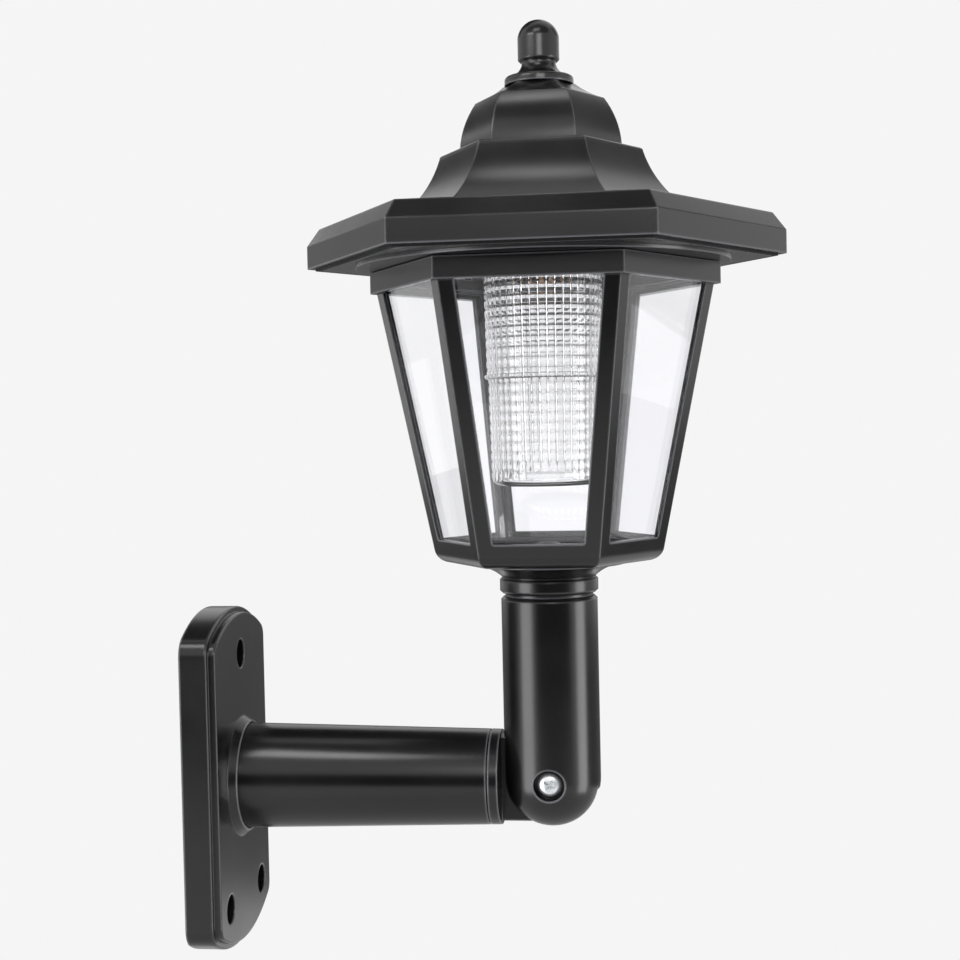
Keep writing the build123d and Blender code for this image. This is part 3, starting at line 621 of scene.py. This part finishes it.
@dataclass(frozen=True)
class ScrewSet:
    """The equal screws of one CAD node, with a turned head, a cross recess and a rolled thread."""

    node: str
    body: Body
    aim: Vector
    shank_r: float = 1.5 * MM
    head_h: float = 2.0 * MM
    pitch: float = 1.1 * MM
    thread: float = 0.28 * MM
    crown: float = 0.45
    slots: int = 2
    finish: Finish = ZINC
    slot: Slot = Slot.ZINC_STEEL

    HEAD_SIDES: ClassVar[int] = 40
    HEAD_STEPS: ClassVar[int] = 12
    SHANK_SIDES: ClassVar[int] = 24
    STEPS_PER_PITCH: ClassVar[float] = 6.0
    TIP_SHARE: ClassVar[float] = 0.55
    # The recess in shares of the head's radius and height, and of its own mouth at its foot.
    RECESS_LENGTH: ClassVar[float] = 1.35
    RECESS_WIDTH: ClassVar[float] = 0.34
    RECESS_HEIGHT: ClassVar[float] = 1.1
    RECESS_FOOT: ClassVar[float] = 0.45
    RECESS_TURN: ClassVar[float] = math.pi / 5
    SHARP_DEG: ClassVar[float] = 34.0

    @classmethod
    def tree(cls) -> bpy.types.NodeTree:
        """Makes the tree of one screw on each point, along +Z before it is aimed.

        Returns:
            The tree, made at its first use.
        """
        made = bpy.data.node_groups.get("screw_on_points")
        if made is not None:
            return made
        tree, given = new_tree(
            "screw_on_points", Shank=FLOAT, Length=FLOAT, Head=FLOAT, Height=FLOAT, Crown=FLOAT, Pitch=FLOAT,
            Thread=FLOAT, Slots="NodeSocketInt", Aim="NodeSocketVector", Finish="NodeSocketMaterial",
        )
        value = given.outputs
        spot = add_node(tree, "GeometryNodeInputPosition")
        axes = add_node(tree, "ShaderNodeSeparateXYZ", {"Vector": spot}).outputs

        # Head: a short bar whose radius follows a rounded shoulder up to its flat top.
        bar = add_node(tree, "GeometryNodeMeshCylinder", {
            "Vertices": cls.HEAD_SIDES, "Side Segments": cls.HEAD_STEPS, "Radius": 1.0,
            "Depth": value["Height"],
        })
        half = add_node(tree, MATH, {0: value["Height"], 1: 0.5}, operation="MULTIPLY")
        depth = add_node(tree, MATH, {0: axes["Z"], 1: half}, operation="ADD")
        short = add_node(tree, MATH, {0: value["Crown"], 1: depth}, operation="SUBTRACT")
        kept = add_node(tree, MATH, {0: short, 1: 0.0}, operation="MAXIMUM")
        square = add_node(tree, MATH, {0: kept, 1: 2.0}, operation="POWER")
        crown = add_node(tree, MATH, {0: value["Crown"], 1: 2.0}, operation="POWER")
        rise = add_node(tree, MATH, {0: crown, 1: square}, operation="SUBTRACT")
        arc = add_node(tree, MATH, {0: rise}, operation="SQRT")
        flat = add_node(tree, MATH, {0: value["Head"], 1: value["Crown"]}, operation="SUBTRACT")
        radius = add_node(tree, MATH, {0: flat, 1: arc}, operation="ADD")
        wide = add_node(tree, COMBINE, {"X": radius, "Y": radius, "Z": 1.0})
        swell = add_node(tree, VECTOR_MATH, {0: spot, 1: wide}, operation="MULTIPLY")
        pan = add_node(tree, "GeometryNodeSetPosition", {"Geometry": bar, "Position": swell})
        down = add_node(tree, MATH, {0: half, 1: -1.0}, operation="MULTIPLY")
        drop = add_node(tree, COMBINE, {"Z": down})
        head = add_node(tree, "GeometryNodeTransform", {"Geometry": pan, "Translation": drop})

        # Recess: crossed wedges that narrow towards their foot, cut from the top of the head.
        slot_w = add_node(tree, MATH, {0: value["Head"], 1: cls.RECESS_WIDTH}, operation="MULTIPLY")
        slot_l = add_node(tree, MATH, {0: value["Head"], 1: cls.RECESS_LENGTH}, operation="MULTIPLY")
        slot_h = add_node(tree, MATH, {0: value["Height"], 1: cls.RECESS_HEIGHT}, operation="MULTIPLY")
        block_size = add_node(tree, COMBINE, {"X": slot_l, "Y": slot_w, "Z": slot_h})
        block = add_node(tree, "GeometryNodeMeshCube", {"Size": block_size})
        narrow = add_node(tree, "ShaderNodeMapRange", {
            "Value": axes["Z"], "From Min": 0.0, "From Max": half, "To Min": 1.0, "To Max": cls.RECESS_FOOT,
        })
        taper = add_node(tree, COMBINE, {"X": narrow, "Y": narrow, "Z": 1.0})
        wedge_at = add_node(tree, VECTOR_MATH, {0: spot, 1: taper}, operation="MULTIPLY")
        wedge = add_node(tree, "GeometryNodeSetPosition", {"Geometry": block, "Position": wedge_at})
        top = add_node(tree, MATH, {0: value["Height"], 1: -1.0}, operation="MULTIPLY")
        lifted = add_node(tree, COMBINE, {"Z": top})
        turns = add_node(
            tree, "GeometryNodeMeshLine",
            {"Count": value["Slots"], "Start Location": lifted, "Offset": (0.0, 0.0, 0.0)},
        )
        index = add_node(tree, "GeometryNodeInputIndex")
        quarter = add_node(
            tree, MATH, {0: index, 1: math.pi / 2, 2: cls.RECESS_TURN}, operation="MULTIPLY_ADD"
        )
        turned = add_node(tree, COMBINE, {"Z": quarter})
        wedges = add_node(
            tree, "GeometryNodeInstanceOnPoints", {"Points": turns, "Instance": wedge, "Rotation": turned}
        )
        cutter = add_node(tree, "GeometryNodeRealizeInstances", {"Geometry": wedges})
        driven = add_node(
            tree, "GeometryNodeMeshBoolean", {"Mesh 1": head, "Mesh 2": cutter, "Self Intersection": True},
            operation="DIFFERENCE", solver="EXACT",
        )

        # Shank: a bar whose radius follows a helix, and tapers at its end.
        rings = add_node(tree, MATH, {0: value["Length"], 1: value["Pitch"]}, operation="DIVIDE")
        steps = add_node(tree, MATH, {0: rings, 1: cls.STEPS_PER_PITCH}, operation="MULTIPLY")
        rod = add_node(tree, "GeometryNodeMeshCylinder", {
            "Vertices": cls.SHANK_SIDES, "Side Segments": steps, "Radius": 1.0, "Depth": value["Length"],
        })
        angle = add_node(tree, MATH, {0: axes["Y"], 1: axes["X"]}, operation="ARCTAN2")
        turn = add_node(tree, MATH, {0: angle, 1: FULL_TURN}, operation="DIVIDE")
        climb = add_node(tree, MATH, {0: axes["Z"], 1: value["Pitch"]}, operation="DIVIDE")
        phase = add_node(tree, MATH, {0: climb, 1: turn}, operation="SUBTRACT")
        wave = add_node(tree, MATH, {0: phase, 1: 0.5}, operation="PINGPONG")
        twice = add_node(tree, MATH, {0: value["Thread"], 1: -2.0}, operation="MULTIPLY")
        cut = add_node(tree, MATH, {0: wave, 1: twice, 2: value["Shank"]}, operation="MULTIPLY_ADD")
        half_l = add_node(tree, MATH, {0: value["Length"], 1: 0.5}, operation="MULTIPLY")
        tip_z = add_node(tree, MATH, {0: half_l, 1: value["Shank"]}, operation="SUBTRACT")
        tip = add_node(tree, "ShaderNodeMapRange", {
            "Value": axes["Z"], "From Min": tip_z, "From Max": half_l, "To Min": 1.0, "To Max": cls.TIP_SHARE,
        })
        girth = add_node(tree, MATH, {0: cut, 1: tip}, operation="MULTIPLY")
        thick = add_node(tree, COMBINE, {"X": girth, "Y": girth, "Z": 1.0})
        rolled = add_node(tree, VECTOR_MATH, {0: spot, 1: thick}, operation="MULTIPLY")
        thread = add_node(tree, "GeometryNodeSetPosition", {"Geometry": rod, "Position": rolled})
        reach = add_node(tree, COMBINE, {"Z": half_l})
        shank = add_node(tree, "GeometryNodeTransform", {"Geometry": thread, "Translation": reach})
        whole = add_node(tree, "GeometryNodeJoinGeometry", {"Geometry": shank})
        feed(tree, whole, {"Geometry": driven})
        placed = add_node(
            tree, "GeometryNodeInstanceOnPoints",
            {"Points": value["Geometry"], "Instance": whole, "Rotation": value["Aim"]},
        )
        close_tree(tree, placed, value["Finish"])
        return tree

    def build(self) -> None:
        """Builds the screws where the CAD node has them, at its head size and length."""
        axis = max(range(3), key=lambda place: abs(self.aim[place]))
        across = (axis + 1) % 3
        boxes = part_boxes(self.node)
        low, high = boxes[0]
        head_r = (high[across] - low[across]) / 2
        length = high[axis] - low[axis] - self.head_h
        places = []
        for low, high in boxes:
            under_head = (low + high) / 2
            under_head[axis] = low[axis] + self.head_h if self.aim[axis] > 0 else high[axis] - self.head_h
            places.append(tuple(under_head))
        points = bpy.data.meshes.new(self.node)
        points.from_pydata(places, [], [])
        piece = grow(
            self.node + "_driven", points, self.tree(), Shank=self.shank_r, Length=length, Head=head_r,
            Height=self.head_h, Crown=self.crown * self.head_h, Pitch=self.pitch, Thread=self.thread,
            Slots=self.slots, Aim=self.aim.to_track_quat("Z", "Y").to_euler(), Finish=self.finish.material(),
        )
        smooth(piece.data, self.SHARP_DEG)
        seat(piece, self.body, self.slot, self.node)


@dataclass(frozen=True)
class WallBracket:
    """Wall plate and arm, with the screws that join them from behind."""

    screws: ScrewSet = ScrewSet("arm_screws", Body.BRACKET, Vector((0, -1, 0)))

    def build(self) -> None:
        """Dresses the mouldings and drives the screws."""
        dress(PLASTIC, "wall_plate", "arm")
        self.screws.build()


@dataclass(frozen=True)
class ElbowPost:
    """Post on the arm's tongue, with its machine screw and nut."""

    screw: ScrewSet = ScrewSet(
        "elbow_screw", Body.POST, Vector((1, 0, 0)), shank_r=2.0 * MM, head_h=2.6 * MM, pitch=0.7 * MM,
        thread=0.2 * MM, crown=0.85,
    )

    def build(self) -> None:
        """Dresses the post and drives its screw."""
        dress(PLASTIC, "post")
        dress(ZINC, "elbow_nut")
        self.screw.build()


@dataclass(frozen=True)
class LanternCage:
    """Base, cage and its six panes, with the screw in the cage floor."""

    panes: int = 6
    screw: ScrewSet = ScrewSet(
        "base_screw", Body.LANTERN, Vector((0, 0, -1)), shank_r=1.9 * MM, head_h=2.8 * MM, finish=OXIDE,
        slot=Slot.BLACK_STEEL,
    )

    def build(self) -> None:
        """Dresses the mouldings and panes, and drives the screw."""
        dress(PLASTIC, "lantern_base", "cage_frame")
        dress(PANE, *[f"pane_{side + 1}" for side in range(self.panes)])
        self.screw.build()


@dataclass(frozen=True)
class TieredRoof:
    """Roof, finial, foam seal and underplate, with the screws between them."""

    screw_sets: tuple[ScrewSet, ...] = (
        ScrewSet("finial_screw", Body.ROOF, Vector((0, 0, 1)), head_h=1.8 * MM),
        ScrewSet(
            "underplate_screws", Body.ROOF, Vector((0, 0, 1)), finish=OXIDE, slot=Slot.BLACK_STEEL
        ),
    )

    def build(self) -> None:
        """Dresses the mouldings and the seal, and drives the screws."""
        dress(PLASTIC, "roof_shell", "finial", "roof_underplate")
        dress(FOAM, "roof_gasket")
        for screws in self.screw_sets:
            screws.build()


@dataclass(frozen=True)
class LightCup:
    """Clear cup whose wall is a field of small lenses: rings outside and flutes inside."""

    rings: int = 10
    ring_steps: int = 8
    ring_depth: float = 0.42 * MM
    flutes: int = 42
    flute_steps: int = 8
    flute_depth: float = 0.4 * MM
    flute_rise: float = 12.0
    flatness: float = 4.0
    corner_r: float = 3.0 * MM
    end_r: float = 16.5 * MM
    bead_rise: float = 32.0 * MM
    bead_h: float = 1.6 * MM
    below_bead_r: float = 17.063 * MM
    above_bead_r: float = 17.463 * MM
    bead_r: float = 18.163 * MM
    neck_r: float = 18.0 * MM
    plain_band: float = 2.0 * MM
    neck_h: float = 3.3 * MM
    flange_h: float = 1.5 * MM
    wall: float = 2.0 * MM
    bore_foot_r: float = 14.5 * MM
    curve_steps: int = 8
    bore_steps: int = 32
    sharp_deg: float = 30.0

    def profile(self) -> list[tuple[float, float, float, float]]:
        """Half section of the smooth cup, from the middle of its foot round to the middle of its floor.

        Returns:
            Radius, height, place along the rings and share of the flutes at each point.
        """
        corner_low, corner_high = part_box("prism_tube")
        low, high = corner_low.z, corner_high.z
        flange_r = (corner_high.x - corner_low.x) / 2
        flange_z = high - self.flange_h
        neck_z = flange_z - self.neck_h
        bead_z = low + self.bead_rise
        points = [(0.0, low, 0.0, 0.0)]
        for step in range(self.curve_steps + 1):
            turn = math.pi / 2 * step / self.curve_steps
            radius = self.end_r - self.corner_r * (1 - math.sin(turn))
            points.append((radius, low + self.corner_r * (1 - math.cos(turn)), 0.0, 0.0))
        plain_r = self.neck_r - self.plain_band * (self.neck_r - self.above_bead_r) / (
            neck_z - bead_z - self.bead_h
        )
        zones = (
            (self.end_r, low + self.corner_r, self.below_bead_r, bead_z),
            (self.above_bead_r, bead_z + self.bead_h, plain_r, neck_z - self.plain_band),
        )
        for zone, (foot_r, foot_z, top_r, top_z) in enumerate(zones):
            count = self.rings * self.ring_steps
            for step in range(1, count + 1):
                share = step / count
                radius = foot_r + (top_r - foot_r) * share
                points.append((radius, foot_z + (top_z - foot_z) * share, self.rings * share, 0.0))
            if zone == 0:
                swell = self.bead_r - (self.below_bead_r + self.above_bead_r) / 2
                for step in range(1, self.curve_steps + 1):
                    share = step / self.curve_steps
                    base = self.below_bead_r + (self.above_bead_r - self.below_bead_r) * share
                    radius = base + swell * math.sqrt(4 * share * (1 - share))
                    points.append((radius, bead_z + self.bead_h * share, 0.0, 0.0))
        bore_r = self.neck_r - self.wall
        for radius, height in (
            (self.neck_r, neck_z), (self.neck_r, flange_z), (flange_r, flange_z), (flange_r, high),
            (bore_r, high),
        ):
            points.append((radius, height, 0.0, 0.0))
        floor_z = low + self.wall
        for step in range(1, self.bore_steps + 1):
            share = step / self.bore_steps
            radius = bore_r + (self.bore_foot_r - bore_r) * share
            fluted = min(1.0, self.flute_rise * share * (1 - share))
            points.append((radius, high + (floor_z - high) * share, 0.0, fluted))
        points.append((0.0, floor_z, 0.0, 0.0))
        return points

    def smooth_cup(self) -> bpy.types.Mesh:
        """Turns the half section about the cup's axis, with its ring and flute values as attributes.

        Returns:
            The closed mesh.
        """
        low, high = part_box("prism_tube")
        centre = (low + high) / 2
        sides = self.flutes * self.flute_steps
        verts, faces, ring_values, flute_values, rows = [], [], [], [], []
        for radius, height, ring, flute in self.profile():
            count = sides if radius > 0 else 1
            rows.append(range(len(verts), len(verts) + count))
            for side in range(count):
                turn = FULL_TURN * side / sides
                verts.append((centre.x + radius * math.cos(turn), centre.y + radius * math.sin(turn), height))
                ring_values.append(ring)
                flute_values.append(flute)
        for below, above in zip(rows, rows[1:]):
            for side in range(sides):
                after = (side + 1) % sides
                if len(below) == 1:
                    faces.append((below[0], above[after], above[side]))
                elif len(above) == 1:
                    faces.append((below[side], below[after], above[0]))
                else:
                    faces.append((below[side], below[after], above[after], above[side]))
        mesh = bpy.data.meshes.new("smooth_cup")
        mesh.from_pydata(verts, [], faces)
        mesh.attributes.new("ring", "FLOAT", "POINT").data.foreach_set("value", ring_values)
        mesh.attributes.new("flute", "FLOAT", "POINT").data.foreach_set("value", flute_values)
        return mesh

    @staticmethod
    def tree() -> bpy.types.NodeTree:
        """Makes the tree that presses rings and flutes into the smooth cup.

        Returns:
            The tree.
        """
        tree, given = new_tree(
            "ringed_and_fluted_wall", Axis="NodeSocketVector", RingDepth=FLOAT, Flutes=FLOAT,
            FluteDepth=FLOAT, Flatness=FLOAT, Finish="NodeSocketMaterial",
        )
        value = given.outputs
        spot = add_node(tree, "GeometryNodeInputPosition")
        out = add_node(tree, VECTOR_MATH, {0: spot, 1: value["Axis"]}, operation="SUBTRACT")
        level = add_node(tree, VECTOR_MATH, {0: out, 1: (1.0, 1.0, 0.0)}, operation="MULTIPLY")
        outward = add_node(tree, VECTOR_MATH, {0: level}, operation="NORMALIZE")

        # Rings: flat lenses between narrow grooves, by a high power of the way to the nearest groove.
        ring = add_node(tree, "GeometryNodeInputNamedAttribute", {"Name": "ring"}, data_type="FLOAT")
        notch = add_node(tree, MATH, {0: ring, 1: 0.5}, operation="PINGPONG")
        whole = add_node(tree, MATH, {0: notch, 1: 2.0}, operation="MULTIPLY")
        groove = add_node(tree, MATH, {0: whole, 1: value["Flatness"]}, operation="POWER")
        deep = add_node(tree, MATH, {0: value["RingDepth"], 1: -1.0}, operation="MULTIPLY")
        ring_in = add_node(tree, MATH, {0: groove, 1: deep}, operation="MULTIPLY")

        # Flutes: the same round the bore, standing in from its wall.
        axes = add_node(tree, "ShaderNodeSeparateXYZ", {"Vector": level}).outputs
        angle = add_node(tree, MATH, {0: axes["Y"], 1: axes["X"]}, operation="ARCTAN2")
        turn = add_node(tree, MATH, {0: angle, 1: FULL_TURN}, operation="DIVIDE")
        count = add_node(tree, MATH, {0: turn, 1: value["Flutes"]}, operation="MULTIPLY")
        wave = add_node(tree, MATH, {0: count, 1: 0.5}, operation="PINGPONG")
        valley = add_node(tree, MATH, {0: wave, 1: -2.0, 2: 1.0}, operation="MULTIPLY_ADD")
        seam = add_node(tree, MATH, {0: valley, 1: value["Flatness"]}, operation="POWER")
        bulge = add_node(tree, MATH, {0: 1.0, 1: seam}, operation="SUBTRACT")
        flute = add_node(tree, "GeometryNodeInputNamedAttribute", {"Name": "flute"}, data_type="FLOAT")
        share = add_node(tree, MATH, {0: bulge, 1: flute}, operation="MULTIPLY")
        lens = add_node(tree, MATH, {0: share, 1: value["FluteDepth"]}, operation="MULTIPLY")

        inset = add_node(tree, MATH, {0: ring_in, 1: lens}, operation="SUBTRACT")
        push = add_node(tree, VECTOR_MATH, {0: outward, "Scale": inset}, operation="SCALE")
        pressed = add_node(tree, "GeometryNodeSetPosition", {"Geometry": value["Geometry"], "Offset": push})
        close_tree(tree, pressed, value["Finish"])
        return tree

    def build(self) -> None:
        """Presses the cup and sets it under the roof."""
        low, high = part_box("prism_tube")
        piece = grow(
            "light_cup", self.smooth_cup(), self.tree(), Axis=(low + high) / 2, RingDepth=self.ring_depth,
            Flutes=float(self.flutes), FluteDepth=self.flute_depth, Flatness=self.flatness,
            Finish=CUP.material(),
        )
        smooth(piece.data, self.sharp_deg)
        seat(piece, Body.ROOF, Slot.CLEAR_CUP, "prism_tube")


@dataclass(frozen=True)
class LampCircuit:
    """Board, lamps, cell, tray, switch and solar panel."""

    screw_sets: tuple[ScrewSet, ...] = (
        ScrewSet("board_screws", Body.ROOF, Vector((0, 0, -1))),
        ScrewSet("tray_screws", Body.ROOF, Vector((0, 0, 1))),
    )

    def build(self) -> None:
        """Dresses the parts and drives the screws."""
        dress(RESIST, "led_board")
        dress(EPOXY, "leds")
        dress(PLASTIC, "battery_tray")
        dress(SLEEVE, "battery")
        dress(TIN, "battery_contacts", "switch_body")
        dress(CELL, "solar_panel")
        dress(NYLON, "switch_knob")
        for screws in self.screw_sets:
            screws.build()


def keep_stage(mesh: bmesh.types.BMesh, name: str, material: bpy.types.Material) -> bpy.types.Object:
    """Makes a stage object of a mesh.

    Args:
        mesh: the mesh, freed here.
        name: the object's name.
        material: its material.

    Returns:
        The object.
    """
    data = bpy.data.meshes.new(name)
    mesh.to_mesh(data)
    mesh.free()
    data.materials.append(material)
    piece = bpy.data.objects.new(name, data)
    bpy.context.scene.collection.objects.link(piece)
    return piece


@dataclass(frozen=True)
class Panel:
    """A flat panel of the studio: where it stands, and its width and height."""

    name: str
    place: tuple[float, float, float]
    width: float
    height: float

    def facing(self, target: Vector) -> Matrix:
        """Gives the panel's place and turn when its -Z side faces a point."""
        place = Vector(self.place)
        return Matrix.Translation(place) @ (target - place).to_track_quat("-Z", "Y").to_matrix().to_4x4()


@dataclass(frozen=True)
class Softbox(Panel):
    """A soft lamp, as bright as a share of white. Gloss shows it unless it is only there to fill."""

    brightness: float = 1.0
    in_gloss: bool = True

    def build(self, target: Vector) -> None:
        """Hangs the lamp and turns it to the object.

        Args:
            target: the point that it faces.
        """
        light = bpy.data.lights.new(self.name, "AREA")
        light.shape = "RECTANGLE"
        light.size = self.width
        light.size_y = self.height
        light.energy = self.brightness * math.pi * self.width * self.height
        lamp = bpy.data.objects.new(self.name, light)
        bpy.context.scene.collection.objects.link(lamp)
        lamp.matrix_world = self.facing(target)
        lamp.visible_camera = False
        lamp.visible_glossy = self.in_gloss


@dataclass(frozen=True)
class Flag(Panel):
    """A dark card that only gloss shows, so that black plastic keeps its dark faces in a white room."""

    shade: str = "#7c7c7c"

    def build(self, target: Vector) -> None:
        """Stands the card and turns it to the object.

        Args:
            target: the point that it faces.
        """
        material = empty_material(self.name)
        tree = material.node_tree
        # Gloss inside the glass keeps the white of the room.
        depth = add_node(tree, "ShaderNodeLightPath").outputs["Transmission Depth"]
        shade = add_node(
            tree, "ShaderNodeMix", {"Factor": depth, "A": linear(self.shade), "B": linear(WHITE)},
            data_type="RGBA",
        )
        card = add_node(tree, "ShaderNodeEmission", {"Color": shade})
        add_node(tree, "ShaderNodeOutputMaterial", {"Surface": card})
        mesh = bmesh.new()
        shape = self.facing(target) @ Matrix.Diagonal((self.width / 2, self.height / 2, 1, 1))
        bmesh.ops.create_grid(mesh, x_segments=1, y_segments=1, size=1, matrix=shape)
        flag = keep_stage(mesh, self.name, material)
        flag.visible_camera = False
        flag.visible_diffuse = False
        flag.visible_transmission = False
        flag.visible_shadow = False


@dataclass(frozen=True)
class Studio:
    """Pale room, soft lamps, floor and the photograph's camera."""

    backdrop: str = "#f5f5f5"
    floor: str = "#dcdcdc"
    ambient: float = 0.55
    floor_z: float = -0.32
    floor_r: float = 0.75
    floor_fade: float = 0.45
    floor_sides: int = 96
    camera_azimuth: float = -82.37
    camera_pitch: float = -1.812
    camera_roll: float = 1.228
    camera_focal_px: float = 1659.164
    camera_distance: float = 0.50196
    camera_right: float = -0.020278
    camera_up: float = 0.106661
    camera_nearest: float = 0.01
    lantern_axis: Vector = field(default_factory=lambda: Vector((0, -0.1074, 0)))
    image_px: float = 960.0
    sensor_mm: float = 36.0
    lamps: tuple[Softbox, ...] = (
        Softbox("left_box", (-0.50, 0.55, -0.05), 0.42, 0.7, 4.1),
        Softbox("right_box", (-0.12, -0.92, -0.05), 0.36, 0.7, 4.5),
        Softbox("front_box", (-0.94, -0.27, 0.47), 0.42, 0.18, 7.0),
        Softbox("arm_box", (-0.21, 0.06, 0.34), 0.16, 0.09, 7.0),
        Softbox("dome_box", (-0.060, -0.099, 0.293), 0.045, 0.02, 5.0),
        Softbox("top_box", (-0.55, -0.12, 0.80), 0.8, 0.4, 3.4, in_gloss=False),
    )
    flags: tuple[Flag, ...] = (
        Flag("front_flag", (-0.93, -0.30, 0.01), 1.7, 0.46, "#0c0c0c"),
        Flag("left_flag", (0.43, 0.80, -0.195), 1.25, 0.27),
        Flag("right_flag", (0.65, -0.87, -0.195), 1.25, 0.27),
        Flag("back_flag", (0.99, 0.03, -0.04), 0.95, 0.58),
        Flag("left_mid_flag", (0.69, 0.62, 0.29), 0.46, 0.3, "#b0b0b0"),
        Flag("left_high_flag", (0.67, 0.60, 0.70), 0.5, 0.4, "#5a5a5a"),
        Flag("right_high_flag", (0.62, -0.90, 0.80), 0.46, 0.6, "#8a8a8a"),
        Flag("top_flag", (-0.33, -0.11, 0.79), 1.5, 0.64),
        Flag("arm_flag", (0.34, 0.12, 0.61), 0.46, 0.44, "#303030"),
    )

    def build_camera(self) -> None:
        """Stands the camera where the photograph was taken from."""
        turn = math.radians(self.camera_azimuth)
        back = Vector((math.sin(turn), -math.cos(turn), 0))
        right = Vector((math.cos(turn), math.sin(turn), 0))
        up = Vector((0, 0, 1))
        pitch = math.radians(self.camera_pitch)
        roll = math.radians(self.camera_roll)
        forward = up * math.sin(pitch) - back * math.cos(pitch)
        upright = up * math.cos(pitch) + back * math.sin(pitch)
        side = right * math.cos(roll) - upright * math.sin(roll)
        crown = upright * math.cos(roll) + right * math.sin(roll)
        offset = back * self.camera_distance + right * self.camera_right + up * self.camera_up
        camera = bpy.data.objects.new("camera", bpy.data.cameras.new("camera"))
        bpy.context.scene.collection.objects.link(camera)
        camera.data.sensor_width = self.sensor_mm
        camera.data.lens = self.camera_focal_px / self.image_px * self.sensor_mm
        camera.data.clip_start = self.camera_nearest
        turned = Matrix((side, crown, -forward)).transposed().to_4x4()
        camera.matrix_world = Matrix.Translation(self.lantern_axis + offset) @ turned
        bpy.context.scene.camera = camera

    def build_world(self) -> None:
        """Lights the room evenly, and shows it as the backdrop's colour to the camera, gloss and glass."""
        world = bpy.data.worlds.new("pale_room")
        bpy.context.scene.world = world
        world.use_nodes = True
        tree = world.node_tree
        tree.nodes.clear()
        path = add_node(tree, "ShaderNodeLightPath").outputs
        gloss = add_node(
            tree, MATH, {0: path["Is Camera Ray"], 1: path["Is Glossy Ray"]}, operation="MAXIMUM"
        )
        glass = add_node(tree, MATH, {0: gloss, 1: path["Is Transmission Ray"]}, operation="MAXIMUM")
        level = add_node(tree, "ShaderNodeMapRange", {"Value": glass, "To Min": self.ambient, "To Max": 1.0})
        shade = add_node(
            tree, "ShaderNodeMix",
            {"Factor": path["Is Camera Ray"], "A": linear(WHITE), "B": linear(self.backdrop)},
            data_type="RGBA",
        )
        room = add_node(tree, "ShaderNodeBackground", {"Color": shade, "Strength": level})
        add_node(tree, "ShaderNodeOutputWorld", {"Surface": room})

    def build_floor(self) -> None:
        """Lays a pale floor that fades out at its rim."""
        middle = (*self.lantern_axis.xy, self.floor_z)
        material = empty_material("pale floor paint")
        tree = material.node_tree
        place = add_node(tree, "ShaderNodeTexCoord").outputs["Object"]
        away = add_node(tree, VECTOR_MATH, {0: place, 1: middle}, operation="DISTANCE")
        fade = add_node(
            tree, "ShaderNodeMapRange",
            {"Value": away, "From Min": self.floor_r * self.floor_fade, "From Max": self.floor_r},
            interpolation_type="SMOOTHSTEP",
        )
        below = add_node(tree, "ShaderNodeNewGeometry").outputs["Backfacing"]
        gone = add_node(tree, MATH, {0: fade, 1: below}, operation="MAXIMUM")
        paint = add_node(tree, "ShaderNodeBsdfDiffuse", {"Color": linear(self.floor)})
        clear = add_node(tree, "ShaderNodeBsdfTransparent")
        both = add_node(tree, "ShaderNodeMixShader", {0: gone, 1: paint, 2: clear})
        add_node(tree, "ShaderNodeOutputMaterial", {"Surface": both})
        mesh = bmesh.new()
        bmesh.ops.create_circle(
            mesh, cap_ends=True, radius=self.floor_r, segments=self.floor_sides,
            matrix=Matrix.Translation(middle),
        )
        keep_stage(mesh, "floor", material)

    def build(self) -> None:
        """Sets up the room, the lamps and the camera."""
        bpy.context.scene.view_settings.view_transform = "Standard"
        self.build_world()
        self.build_floor()
        low, high = CAD_BOX
        for panel in (*self.lamps, *self.flags):
            panel.build((low + high) / 2)
        self.build_camera()
        LOG.info("set up the studio")


def main() -> None:
    """Builds every sub-assembly in order, then the studio."""
    logging.basicConfig(level=logging.INFO, format="%(message)s")
    assemblies = (WallBracket(), ElbowPost(), LanternCage(), TieredRoof(), LightCup(), LampCircuit())
    for assembly in (*assemblies, Studio()):
        assembly.build()


if __name__ == "__main__":
    main()
